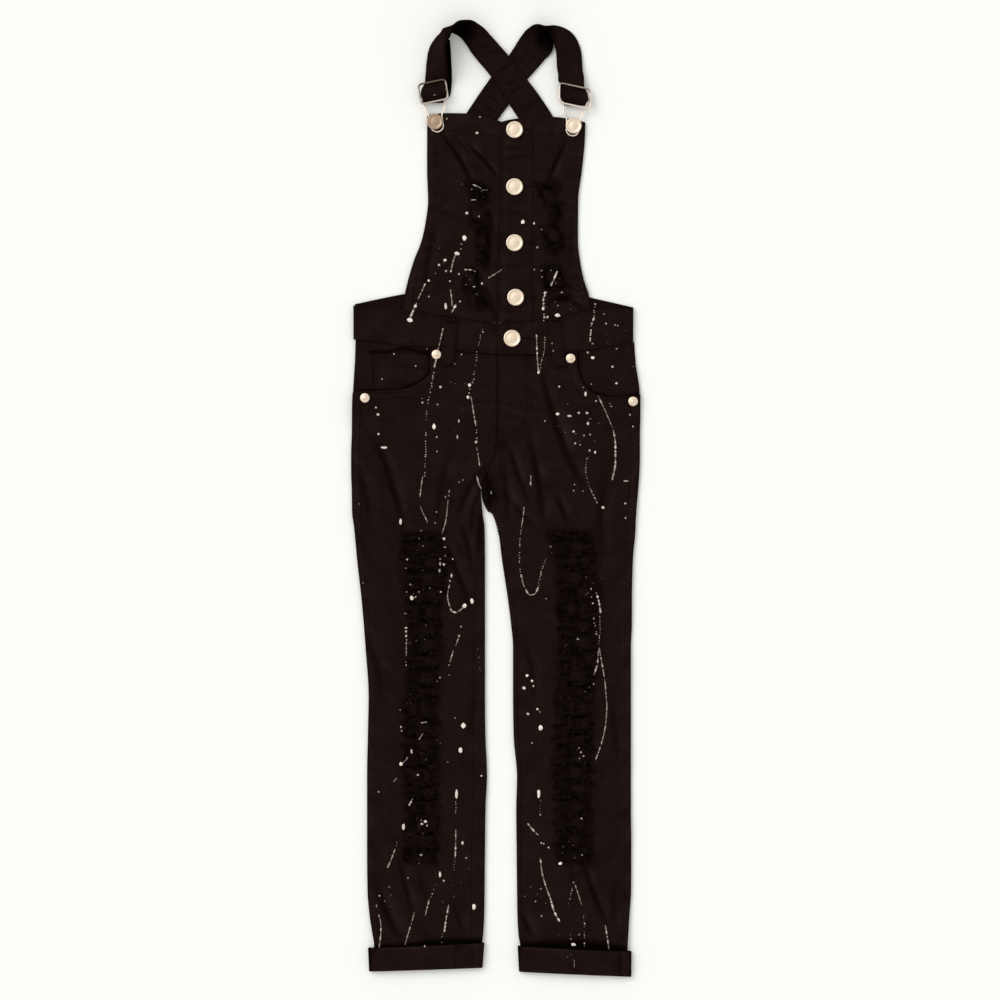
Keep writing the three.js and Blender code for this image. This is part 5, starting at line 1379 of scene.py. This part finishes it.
class DUNGAREES_OT_bib(bpy.types.Operator):
    """Sew both halves of the bib and the button placket, with the bib's tears"""

    bl_idname = "dungarees.bib"
    bl_label = "Bib"

    def execute(self, context):
        cell = 0.8 * context.scene.dungarees_cloth.cell / MM
        for number, side in enumerate(SIDES):
            layout = Layout(BIB[side], cell, edge_curve(BIB_TOP[side]), edge_curve(BAND_TOP))
            lips, gone = open_rips(layout, BIB_RIPS[side], SEEDS["bib_rips"] + number)
            from_side = layout.first if side == "right" else layout.last
            self.sew_panel("bib_" + side, layout, from_side, SEEDS["bib"] + number, lips, gone)
        layout = Layout(PLACKET, cell, edge_curve(BIB_TOP["left"]), edge_curve(BAND_TOP))
        self.sew_panel("bib_placket", layout, layout.first, SEEDS["placket"])
        return {"FINISHED"}

    def sew_panel(self, node, layout, from_side, seed, lips=0.0, gone=()):
        across, down = layout.across, layout.down
        creases = creased(across, down, BIB_CREASES)
        seams = hemmed(from_side, down, "bib_side", seed) + hemmed(layout.top, across, "bib_top", seed + 1)
        lines = soften(worn_lines(across, down, BIB_WEAR), 1)
        patch = oval_sum(across, down, BIB_WORN) * (1 - 0.8 * oval_sum(across, down, BIB_WHOLE))
        blotch = ease(mottled(0.7 * across, down, 4.5, seed + 5), 0.2, 0.75)
        torn = np.clip(0.5 * patch + 0.36 * lines, 0, 0.85)
        # painted shade, blotchy, in the worn patches and along the worn lines, beside the wear marked as torn
        tear_shade = 0.52 * patch * (0.35 + 0.65 * blotch) + 0.36 * lines * (0.4 + 0.6 * blotch)
        fuzz = np.random.default_rng(seed).normal(0, 0.15, across.shape) * torn
        relief = creases + seams + lips + rippled(across, down, 0.26, seed + 2) + fuzz - 0.45 * torn
        edge_across, edge_down = np.array(PLACKET_EDGE).T
        # painted shade along the placket's edge, and below it also in crease troughs and in the tears
        middle = 0.32 * bell(across - np.interp(down, edge_down, edge_across), 1.1)
        shade = np.maximum.reduce([np.clip(-0.6 * creases, 0, 0.85), middle, np.clip(tear_shade, 0, 0.9)])
        marks = {"torn": torn, "shade": shade, "faded": np.clip(0.3 + 0.7 * (creases + seams), 0, 1)}
        panel(node, layout, relief, gone=gone, marks=marks)


def strap_rows(side):
    """Lying edge, middle and raised edge of the strap, from its tail through the buckle to the back"""
    buckle = BUCKLE[side]
    turn = math.radians(buckle["tilt"])

    def lying(row):
        a_across, a_down, b_across, b_down, *lifts = row
        lift = lifts[0] if lifts else TAIL
        spread = math.hypot(b_across - a_across, b_down - a_down)
        rise = math.sqrt(max(0, STRAP_WIDTH ** 2 - spread ** 2))
        ends = np.array([(a_across, a_down, lift), (b_across, b_down, lift + rise)])
        return np.stack([ends[0], ends.mean(axis=0), ends[1]])

    def at_buckle(along, height, half, weave):
        """Kept between the slide's sides, and set aslant as the strap comes down from the shoulder"""
        slip = buckle["slant"] * (along + 3) * float(ease(along, -9, -6))
        room = buckle["half"] - SLIDE_ROOM + STRAP_HALF * float(ease(along, 9, 13))
        lean = along * math.sin(turn) * buckle["lean"]
        outer, inner = max(slip - half, -room - lean), min(slip + half, room - lean)
        spots = []
        for edge in (outer, (outer + inner) / 2, inner):
            aside = -edge * buckle["lying"]
            reach = along + aside * math.tan(turn) * float(ease(along, 0, 9))
            up = reach * math.cos(turn) - aside * math.sin(turn)
            raised = OVER_BAR * (1 - float(ease(abs(up), 1.2, 7.6)))
            spots.append((buckle["across"] + aside, buckle["down"] - reach, height + raised * weave))
        return np.array(spots)

    rows = [lying(row) for row in STRAP_TAIL[side]]
    for row in rows:
        row[:, 2] = TAIL + (row[:, 2] - TAIL) * TAIL_TILT
    for angle in range(-90, 91, 30):
        bend = math.radians(angle)
        along = buckle["fold"] - FOLD_RADIUS * math.cos(bend)
        height = HOOK_BAR + FOLD_RADIUS * math.sin(bend)
        rows.append(at_buckle(along, height, FOLD_HALF, max(0, math.sin(bend))))
    halves = (FOLD_HALF, buckle["strap_half"], buckle["strap_half"], STRAP_HALF)
    for along in np.arange(*BUCKLE_ROWS):
        rows.append(at_buckle(along, STRAP_AT_BUCKLE, np.interp(along, STRAP_WIDENS, halves), 1))
    rows += [lying(row) for row in STRAP[side]]
    rows = np.array(rows)
    place, reach, push = SHOULDER_BULGE
    near = 1 - ease(np.linalg.norm(rows[:, 1, :2] - place, axis=1), 0, reach)
    rows[:, 1, :2] += near[:, None] * push
    return drawn_in(rows)


class DUNGAREES_OT_straps(bpy.types.Operator):
    """Lay the crossed shoulder straps through their slides"""

    bl_idname = "dungarees.straps"
    bl_label = "Straps"

    def execute(self, context):
        part = np.linspace(0, 1, STRAP_COLUMNS)[None, :, None]
        for side in SIDES:
            rows = strap_rows(side)
            knots = running(np.linalg.norm(np.diff(rows[:, 1], axis=0), axis=1))
            count = int(knots[-1] / STRAP_STEP) + 1
            along = np.linspace(0, knots[-1], count)
            bands = smooth_curve(knots, rows.reshape(len(rows), 9))(along).reshape(count, 3, 3)
            low, middle, high = bands[:, None, 0], bands[:, None, 1], bands[:, None, 2]
            spots = low * (1 - part) * (1 - 2 * part) + middle * 4 * part * (1 - part)
            spots = spots + high * part * (2 * part - 1)
            points = frame_places(spots[..., 0], spots[..., 1], spots[..., 2])
            across = np.broadcast_to(part[..., 0] * STRAP_WIDTH, (count, STRAP_COLUMNS))
            edge = np.minimum(across, STRAP_WIDTH - across)
            folds = creased(spots[..., 0], spots[..., 1], STRAP_CREASES) * ease(along[:, None], 60, 80)
            points[..., 2] += 0.5 * MM * np.clip(folds, 0, 1)
            shade = np.maximum(np.clip(-0.8 * folds, 0, 0.8), 0.55 * bell(edge, 0.6))
            shade = pitted(shade, spots[..., 0], spots[..., 1], STRAP_SHADE[side], 4)
            marks = {"faded": 0.3 + 0.2 * bell(edge - 1, 1.6), "shade": 0.96 * shade}
            lengths = np.stack(np.broadcast_arrays(across, along[:, None]), axis=-1)
            piece = sew("strap_" + side, points, lengths, WEB, [denim_material()], marks=marks, middle=True)
        return {"FINISHED"}


def spun(node, profile, spot, material):
    """Turned metal from a profile of radius and height in millimetres, standing at a chart place"""
    bm = bmesh.new()
    verts = [bm.verts.new((radius * MM, 0, rise * MM)) for radius, rise in profile]
    edges = [bm.edges.new(pair) for pair in zip(verts, verts[1:])]
    bmesh.ops.spin(bm, geom=verts + edges, cent=(0, 0, 0), axis=(0, 0, 1), angle=math.tau,
                   steps=SPIN_STEPS, use_merge=True)
    bmesh.ops.remove_doubles(bm, verts=bm.verts, dist=1e-6)
    bmesh.ops.recalc_face_normals(bm, faces=bm.faces)
    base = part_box(node)[0][2] / MM
    bmesh.ops.translate(bm, verts=bm.verts, vec=Vector(frame_places(*spot, base)))
    name = "set_" + node
    mesh = bpy.data.meshes.new(name)
    bm.to_mesh(mesh)
    bm.free()
    mesh.materials.append(material)
    soft_shading(mesh, angle=40)
    return attach(linked(name, mesh), "metal", node)


def button_profile(diameter, stem):
    """Shank, rolled rim, dish and low plain crown of a jeans button"""
    rim = diameter / 2
    shank = [(0, 0), (SHANK, 0), (SHANK, stem)]
    turns = np.radians(range(-80, 121, 20))
    rolled = [(rim - RIM + RIM * math.cos(t), stem + RIM + RIM * math.sin(t)) for t in turns]
    dish = [(rim - inset, stem + rise) for inset, rise in ((2.2, 1.78), (2.9, 1.62), (3.6, 1.68))]
    shares = (1, 0.75, 0.5, 0.25, 0)
    crown = [(share * (rim - 4.2), stem + 1.75 + 0.4 * (1 - share ** 2)) for share in shares]
    return shank + rolled + dish + crown


def rivet_profile(diameter):
    """Flange, shoulder and nipple of a pocket rivet, as shares of its radius and heights"""
    shape = ((0, 0), (0.94, 0), (1, 0.35), (0.95, 0.75), (0.8, 1.1), (0.55, 1.2), (0.4, 1.3), (0.33, 1.7),
             (0.22, 1.95), (0, 2))
    return [(diameter / 2 * share, rise) for share, rise in shape]


class DUNGAREES_OT_buttons(bpy.types.Operator):
    """Set the front and bib buttons and the pocket rivets"""

    bl_idname = "dungarees.buttons"
    bl_label = "Buttons and rivets"

    def execute(self, context):
        metal = context.scene.dungarees_metal
        plate = metal_material("plate", metal.plate)
        worn = metal_material("worn_plate", metal.worn)
        for number, spot in enumerate(FRONT_BUTTONS, 1):
            spun("front_button_" + str(number), button_profile(FRONT_BUTTON, FRONT_STEM), spot, plate)
        for side in SIDES:
            node = "bib_button_" + side
            base, top = (corner[2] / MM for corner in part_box(node))
            profile = button_profile(BIB_BUTTON, top - base - 2 * RIM)
            spun(node, profile, BUCKLE[side]["button"], worn if side == "right" else plate)
        for node, spot in RIVETS.items():
            spun(node, rivet_profile(RIVET), spot, plate)
        return {"FINISHED"}


def tube_faces(count, places, sides):
    """Quads round a number of strands, each with the same places along it and sides round it"""
    ring = np.arange(sides)
    after = (ring + 1) % sides
    first = np.stack([ring, after, after + sides, ring + sides], axis=1)
    faces = (np.arange(places - 1)[:, None, None] * sides + first).reshape(-1, 4)
    return (np.arange(count)[:, None, None] * places * sides + faces).reshape(-1, 4)


def tubes(paths, radii, sides):
    """Round strands: one row of path places and radii for each, all with the same number of places"""
    paths = np.asarray(paths, float)
    count, places = paths.shape[:2]
    radii = np.broadcast_to(radii, (count, places))
    ahead = np.gradient(paths, axis=1)
    ahead /= np.linalg.norm(ahead, axis=-1, keepdims=True) + 1e-12
    upright = np.where(np.abs(ahead[..., 2:]) > 0.9, (1.0, 0.0, 0.0), (0.0, 0.0, 1.0))
    aside = np.cross(ahead, upright)
    aside /= np.linalg.norm(aside, axis=-1, keepdims=True) + 1e-12
    lift = np.cross(aside, ahead)
    angles = np.arange(sides) * math.tau / sides
    round_about = aside[:, :, None] * np.cos(angles)[:, None] + lift[:, :, None] * np.sin(angles)[:, None]
    points = paths[:, :, None] + radii[..., None, None] * round_about
    return points.reshape(-1, 3), tube_faces(count, places, sides)


def stacked(shapes):
    """Several sets of points and faces as one"""
    starts = np.cumsum([0] + [len(points) for points, _ in shapes])
    faces = [cells + start for (_, cells), start in zip(shapes, starts)]
    return np.concatenate([points for points, _ in shapes]), np.concatenate(faces)


def wire_ring(node, spots, diameter, bars=(), dull=None):
    """A closed ring of round wire with any straight bars across it, its painted reflection set by a function
    of places
    """
    spots = np.asarray(spots, float)
    closed = np.concatenate([spots[-1:], spots, spots[:2]])
    knots = running(np.linalg.norm(np.diff(closed, axis=0), axis=1))
    inner = np.linspace(knots[1], knots[-2], WIRE_PLACES)
    path = np.stack([np.interp(inner, knots, closed[:, k]) for k in range(3)], axis=1)
    shapes = [tubes(path[None], diameter / 2 * MM, WIRE_SIDES)]
    shapes += [tubes(np.asarray(bar)[None], diameter * 0.46 * MM, WIRE_SIDES) for bar in bars]
    piece = joined_mesh("bent_" + node, *stacked(shapes), wire_material(), "metal")
    bm = bmesh.new()
    bm.from_mesh(piece.data)
    bmesh.ops.remove_doubles(bm, verts=bm.verts, dist=2e-5)
    bmesh.ops.recalc_face_normals(bm, faces=bm.faces)
    bm.to_mesh(piece.data)
    bm.free()
    soft_shading(piece.data)
    if dull:
        places = np.array([v.co for v in piece.data.vertices]) / MM
        mark_points(piece.data, "dull", dull(MIDDLE[0] + places[:, 0], MIDDLE[1] - places[:, 1]))
    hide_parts(node)


def rounded(centre, radius, start, end, steps):
    turns = np.radians(np.linspace(start, end, steps + 1))
    return [(centre[0] + radius * math.cos(t), centre[1] + radius * math.sin(t)) for t in turns]


class DUNGAREES_OT_buckles(bpy.types.Operator):
    """Bend the wire slides and hooks of the straps"""

    bl_idname = "dungarees.buckles"
    bl_label = "Buckles"

    def execute(self, context):
        for side in SIDES:
            self.slide(side)
            self.hook(side)
        return {"FINISHED"}

    def slide(self, side):
        buckle = BUCKLE[side]
        turn = math.radians(buckle["tilt"])
        x, y = buckle["half"] - SLIDE_CORNER, SLIDE_TALL / 2 - SLIDE_CORNER
        corners = ((x, y, 0), (-x, y, 90), (-x, -y, 180), (x, -y, 270))
        ring = sum((rounded((a, b), SLIDE_CORNER, start, start + 90, 6) for a, b, start in corners), [])
        bar = [(share * buckle["half"], 0) for share in (-1, -0.3, 0.3, 1)]

        def placed(spots):
            aside, up = np.array(spots, float).T
            across = buckle["across"] + aside * math.cos(turn) - up * math.sin(turn) * buckle["lean"]
            down = buckle["down"] - aside * math.sin(turn) - up * math.cos(turn)
            height = np.full_like(down, SLIDE_HEIGHT)
            return frame_places(*drawn_in(np.stack([across, down, height], axis=1)).T)

        # painted reflection of the dark strap, darker towards the slide's top bar
        def dull(across, down):
            up = (buckle["down"] - down) * math.cos(turn) - (across - buckle["across"]) * math.sin(turn)
            sides, top = buckle["dull"]
            return sides + (top - sides) * ease(up, 3, 8)

        wire = SLIDE_RUBBED * SLIDE_WIRE
        wire_ring("slide_" + side, placed(ring), wire, [placed(bar)], dull)

    def hook(self, side):
        buckle = BUCKLE[side]
        across, down = buckle["button"]
        bar_up = buckle["fold"] - buckle["down"]
        half = HOOK_WIDTH / 2 - HOOK_CORNER
        left, right = (
            rounded((buckle["across"] + x, bar_up - HOOK_CORNER), HOOK_CORNER, start, start - 90, 4)
            for x, start in ((-half, 180), (half, 90))
        )
        middle = (across + buckle["throat"], -down - THROAT_DROP)
        throat = rounded(middle, THROAT_RADIUS, 20, -200, 28)
        sides = [[(across + sign * aside, up - down) for aside, up in HOOK_NECK] for sign in (1, -1)]
        fall = evenly([right[-1], *sides[0], throat[0]], 1.5)[0][1:-1].tolist()
        climb = evenly([throat[-1], *sides[1][::-1], left[0]], 1.5)[0][1:-1].tolist()
        spots = np.array(left + right + fall + throat + climb)
        heights = HOOK_BAR + (HOOK_ON_BIB - HOOK_BAR) * ease(bar_up - spots[:, 1], 2, 12)
        places = drawn_in(np.stack([spots[:, 0], -spots[:, 1], heights], axis=1))
        wire_ring("hook_" + side, frame_places(*places.T), HOOK_WIRE)


def cloth_surface():
    """Reads the height of the sewn cloth over chart places, and lifts over rips to the cloth beside them"""
    points, faces = [], []
    for piece in bpy.data.objects:
        if piece.name.startswith("sewn_"):
            first = len(points)
            points += [v.co for v in piece.data.vertices]
            faces += [[first + i for i in p.vertices] for p in piece.data.polygons]
    tree = BVHTree.FromPolygons(points, faces)

    def at(across, down):
        x, y, hit = plumbed(tree, across, down)
        near = tree.find_nearest(Vector((x, y, BESIDE_HEIGHT)))[0]
        beside = near if (near.xy - Vector((x, y))).length < BESIDE_REACH else hit
        return max(spot.z for spot in (hit, beside) if spot) / MM if hit or beside else 0.0

    return np.vectorize(at)


def evenly(path, spacing):
    """Places at an even spacing along a smooth line, and its direction at each"""
    points = np.array(path, float)
    knots = running(np.hypot(*np.diff(points, axis=0).T))
    count = max(2, round(knots[-1] / spacing) + 1)
    spots = smooth_curve(knots, points)(np.linspace(0, knots[-1], count))
    ahead = np.gradient(spots, axis=0)
    return spots, ahead / np.linalg.norm(ahead, axis=1, keepdims=True)


class DUNGAREES_OT_stitching(bpy.types.Operator):
    """Run the seams, bar tacks and buttonholes in thread"""

    bl_idname = "dungarees.stitching"
    bl_label = "Stitching"

    def execute(self, context):
        pitch = context.scene.dungarees_cloth.stitch / MM
        surface = cloth_surface()
        size = (STITCH_SHARE * pitch, STITCH)
        spots, turns, sizes = [], [], []

        def run(places, ahead, each):
            spots.append(places)
            turns.append(ahead)
            sizes.append(np.broadcast_to(each, (len(places), 2)))

        for path in STITCHING:
            places, ahead = evenly(path, pitch)
            run(places, ahead, size)
        for start, end in BAR_TACKS:
            places, ahead = evenly([start, end], TACK_PITCH)
            run(places, ahead[:, ::-1] * (-1, 1), TACK)
        for across, down in FRONT_BUTTONS:
            near, far = across + BUTTONHOLE[0], across + BUTTONHOLE[1]
            for level in (down - HOLE_HALF, down + HOLE_HALF):
                places, ahead = evenly([(near, level), (far, level)], HOLE_PITCH)
                run(places, ahead[:, ::-1], HOLE_STITCH)
        for side in SIDES:
            for edge in STRAP_SEAMS:
                rows = strap_rows(side)[STRAP_SEAM_ROW:]
                line = rows[:, 0] + (rows[:, 2] - rows[:, 0]) * edge
                places, ahead = evenly([(a, d) for a, d, _ in line], pitch)
                shown = places[:, 1] < BIB_LEVEL
                run(places[shown], ahead[shown], size)
        self.lay(np.concatenate(spots), np.concatenate(turns), np.concatenate(sizes), surface)
        return {"FINISHED"}

    def lay(self, spots, turns, sizes, surface):
        """Puts one short bump of thread at each place"""
        ends = [surface(*(spots + sign * 0.4 * sizes[:, :1] * turns).T) for sign in (-1, 1)]
        middle = frame_places(spots[:, 0], spots[:, 1], (ends[0] + ends[1]) / 2)
        tilt = (ends[1] - ends[0]) / (0.8 * sizes[:, 0])
        ahead = np.stack([turns[:, 0], -turns[:, 1], np.clip(tilt, -1.2, 1.2)], axis=1)
        ahead /= np.linalg.norm(ahead, axis=1, keepdims=True)
        aside = np.stack([ahead[:, 1], -ahead[:, 0], np.zeros(len(ahead))], axis=1)
        lift = np.cross(aside, ahead)
        points = []
        for along, thick in ((-0.5, 0.3), (-0.3, 1), (0.3, 1), (0.5, 0.3)):
            for turn in np.radians((0, 90, 180, 270)):
                outward = aside * math.cos(turn) + lift * math.sin(turn)
                offset = ahead * along * sizes[:, :1] + thick * sizes[:, 1:] / 2 * outward
                points.append(middle + offset * MM)
        points = np.stack(points, axis=1)
        faces = np.concatenate([tube_faces(1, 4, 4), [(3, 2, 1, 0), (12, 13, 14, 15)]])
        faces = (np.arange(len(points))[:, None, None] * 16 + faces).reshape(-1, 4)
        thread = plain_material("thread", bpy.context.scene.dungarees_cloth.thread, 0.9)
        joined_mesh("stitching", points, faces, thread, "denim")


class DUNGAREES_OT_fray(bpy.types.Operator):
    """Fill the rips with loose yarns, hairs and worn fibres"""

    bl_idname = "dungarees.fray"
    bl_label = "Frayed rips"

    def execute(self, context):
        rips = context.scene.dungarees_rips
        draw = np.random.default_rng(rips.seed)
        surface = cloth_surface()
        tears = [rip for side in SIDES for rip in worn_rips(side) + BIB_RIPS[side]]
        kinds = (
            self.yarns(tears, rips.yarns, draw, surface), self.hairs(tears, rips.hairs, draw, surface),
            self.fibres(draw, surface),
        )
        points, faces = stacked([tubes(*zip(*strands), YARN_SIDES) for strands in kinds])
        joined_mesh("frayed_yarn", points, faces, yarn_material(), "denim")
        return {"FINISHED"}

    def yarns(self, tears, count, draw, surface):
        """Weft yarns that still cross each rip"""
        part = np.linspace(0, 1, 14)
        for start, end, down, gape in tears:
            ends = surface(np.array([start - 1, end + 1]), np.array([down, down]))
            for level in np.linspace(-0.42, 0.42, count):
                wave = draw.normal(0, 0.35, 2)
                across = start - 1 + (end - start + 2) * part
                below = down + gape * level * np.sin(np.pi * part) ** 0.5
                sway = wave[0] * np.sin(part * 9 + draw.uniform(0, 6))
                below = below + sway + draw.normal(0, 0.1, len(part))
                height = ends[0] + (ends[1] - ends[0]) * part - 0.5 + wave[1] * np.sin(np.pi * part) * 0.6
                yield frame_places(across, below, height), np.full(len(part), draw.uniform(0.14, 0.28) * MM)

    def hairs(self, tears, count, draw, surface):
        """Short broken ends that stand out from each rip's edges"""
        part = np.linspace(0, 1, 5)
        for start, end, down, gape in tears:
            few = max(4, round(count * (end - start) / 45))
            across = draw.uniform(start, end, few)
            edge = draw.choice((-1, 1), few)
            below = down + edge * gape * 0.5 * draw.uniform(0.6, 1.6, few)
            height = surface(across, below)
            turn = np.where(edge > 0, -1, 1) * math.pi / 2 + draw.normal(0, 0.9, few)
            long = draw.uniform(1.5, 6, few)
            bend = draw.normal(0, 0.7, few)
            for k in range(few):
                angle = turn[k] + bend[k] * part
                x = across[k] + long[k] * part * np.cos(angle)
                y = below[k] + long[k] * part * np.sin(angle)
                arch = 0.7 * np.sin(np.pi * part) * draw.uniform(0, 1)
                path = frame_places(x, y, height[k] + 0.25 + arch)
                yield path, (1 - 0.6 * part) * draw.uniform(0.1, 0.17) * MM

    def fibres(self, draw, surface):
        """Worn weft lying across each leg's strip"""
        part = np.linspace(0, 1, 8)
        for side in SIDES:
            for _ in range(FIBRES):
                down = draw.uniform(WORN[side][0][0] - 7, WORN[side][-1][0] + 7)
                left, right = strip_edges(side, down)
                start = draw.uniform(left - 2, right - 4)
                end = min(start + draw.uniform(6, 22), right + 4)
                x = start + (end - start) * part
                y = down + draw.normal(0, 1.3) * part + draw.normal(0, 0.5) * np.sin(part * 7)
                path = frame_places(x, y, surface(x, y) + draw.uniform(-0.1, 0.3))
                yield path, np.sin(np.pi * np.clip(part, 0.06, 0.94)) ** 0.4 * draw.uniform(0.1, 0.2) * MM


class DUNGAREES_OT_paint(bpy.types.Operator):
    """Spatter dried drops and streaks of paint over the cloth"""

    bl_idname = "dungarees.paint"
    bl_label = "Paint"

    def execute(self, context):
        settings = context.scene.dungarees_paint
        self.chance = np.random.default_rng(settings.seed)
        self.height = settings.height / MM
        self.points, self.faces, self.thin, self.count = [], [], [], 0
        self.surface = cloth_surface()
        for path, width in STREAKS:
            self.streak(path, width)
        for path, width in CHAINS:
            for (across, down), ahead in zip(*evenly(path, 2.7)):
                if self.chance.random() < 0.85:
                    size = width * self.chance.uniform(0.6, 1.2)
                    aside = self.chance.normal(0, 0.3, 2)
                    long = size * self.chance.uniform(1, 1.7)
                    self.drop(across + aside[0], down + aside[1], long, size, ahead)
        for across, down, *size in DROPS:
            self.drop(across, down, size[0], size[-1])
        for across, down, spread, count in SPECKS:
            for _ in range(count):
                size = self.chance.uniform(0.4, 1.0)
                aside = self.chance.normal(0, spread, 2)
                self.drop(across + aside[0], down + aside[1], size, size)
        points = np.concatenate(self.points)
        paint = joined_mesh("spattered_paint", points, self.faces, paint_material(), None)
        mark_points(paint.data, "thin", self.thin)
        soft_shading(paint.data, angle=75)
        return {"FINISHED"}

    def add(self, across, down, lift, faces):
        self.points.append(frame_places(across, down, self.surface(across, down) + lift))
        self.faces += [tuple(self.count + i for i in face) for face in faces]
        self.count += len(across)

    def drop(self, across, down, width, length, ahead=(1, 0)):
        """An uneven domed drop, its width along a direction"""
        sides = DROP_SIDES
        turn = np.arange(sides) * math.tau / sides
        uneven = 1 + self.chance.uniform(-0.16, 0.16, sides)
        x = np.concatenate([width / 2 * share * uneven * np.cos(turn) for share in (1, 0.72)] + [[0]])
        y = np.concatenate([length / 2 * share * uneven * np.sin(turn) for share in (1, 0.72)] + [[0]])
        x, y = x * ahead[0] - y * ahead[1], x * ahead[1] + y * ahead[0]
        lift = np.repeat([0.02, 0.75 * self.height, self.height], [sides, sides, 1])
        thin = np.clip(self.chance.uniform(1.1, 1.7) - 0.44 * min(width, length), 0, 0.88)
        self.thin += [float(thin)] * len(lift)
        rim = [(k, k + sides, (k + 1) % sides + sides, (k + 1) % sides) for k in range(sides)]
        cap = [(k + sides, 2 * sides, (k + 1) % sides + sides) for k in range(sides)]
        self.add(across + x, down + y, lift, rim + cap)

    def streak(self, path, width):
        """A flick of paint: a run of long drops that swell, thin out and break"""
        spots, ahead = evenly(path, 0.5)
        place = 0
        while place < len(spots):
            long = self.chance.uniform(1.2, 4.4)
            wide = width * self.chance.choice((0.45, 0.6, 0.75, 0.9, 1.05))
            self.drop(*spots[place], long, min(wide, long), ahead[place])
            place += max(1, round(long * self.chance.choice((0.8, 1.1, 1.4, 1.8, 2.4))))


class DUNGAREES_OT_stage(bpy.types.Operator):
    """Set up the pale floor, the soft light and the camera straight above"""

    bl_idname = "dungarees.stage"
    bl_label = "Stage"

    def execute(self, context):
        scene = context.scene
        settings = scene.dungarees_stage
        bm = bmesh.new()
        bmesh.ops.create_grid(bm, x_segments=1, y_segments=1, size=FLOOR_HALF)
        bmesh.ops.translate(bm, verts=bm.verts, vec=(0, 0, -FLOOR_DROP))
        mesh = bpy.data.meshes.new("floor")
        bm.to_mesh(mesh)
        bm.free()
        mesh.materials.append(new_material("floor", settings.floor, 0.9, specular=0.1)[0])
        floor = linked("floor", mesh)
        key = linked("key", bpy.data.lights.new("key", "SUN"))
        key.data.angle = math.radians(KEY_SPREAD)
        key.data.energy = settings.key
        key.location = KEY_PLACE
        key.rotation_euler = (-key.location).to_track_quat("-Z", "Y").to_euler()
        floor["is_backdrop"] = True
        world = scene.world or bpy.data.worlds.new("fill")
        scene.world = world
        world.use_nodes = True
        background = world.node_tree.nodes["Background"]
        background.inputs["Color"].default_value = FILL_COLOUR
        background.inputs["Strength"].default_value = settings.sky
        camera = linked("camera", bpy.data.cameras.new("camera"))
        camera.data.lens = settings.lens
        camera.location = Vector((*frame_places(*CAMERA_SPOT, 0)[:2], settings.height))
        scene.camera = camera
        scene.view_settings.view_transform = "Standard"
        return {"FINISHED"}


STEPS = (
    DUNGAREES_OT_backs, DUNGAREES_OT_legs, DUNGAREES_OT_turn_ups, DUNGAREES_OT_waist, DUNGAREES_OT_pockets,
    DUNGAREES_OT_bib, DUNGAREES_OT_straps, DUNGAREES_OT_fray, DUNGAREES_OT_stitching, DUNGAREES_OT_buttons,
    DUNGAREES_OT_buckles, DUNGAREES_OT_paint, DUNGAREES_OT_stage,
)
SETTINGS = {
    "dungarees_cloth": ClothSettings, "dungarees_rips": RipSettings, "dungarees_metal": MetalSettings,
    "dungarees_paint": PaintSettings, "dungarees_stage": StageSettings,
}


class DUNGAREES_PT_panel(bpy.types.Panel):
    """Settings and steps of the dungarees"""

    bl_idname = "DUNGAREES_PT_panel"
    bl_label = "Dungarees"
    bl_space_type = "VIEW_3D"
    bl_region_type = "UI"
    bl_category = "Dungarees"

    def draw(self, context):
        for name, kind in SETTINGS.items():
            box = self.layout.box()
            for setting in kind.__annotations__:
                box.prop(getattr(context.scene, name), setting)
        for step in STEPS:
            self.layout.operator(step.bl_idname)


def register():
    for kind in (*SETTINGS.values(), *STEPS, DUNGAREES_PT_panel):
        bpy.utils.register_class(kind)
    for name, kind in SETTINGS.items():
        setattr(bpy.types.Scene, name, PointerProperty(type=kind))


def unregister():
    for name in SETTINGS:
        delattr(bpy.types.Scene, name)
    for kind in (DUNGAREES_PT_panel, *reversed(STEPS), *reversed(SETTINGS.values())):
        bpy.utils.unregister_class(kind)


def main():
    register()
    for step in STEPS:
        group, name = step.bl_idname.split(".")
        getattr(getattr(bpy.ops, group), name)()
    boxes = {"cad": CAD_BOX, "visual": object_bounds()}
    {name: [list(corner) for corner in box] for name, box in boxes.items()}


if __name__ == "__main__":
    main()
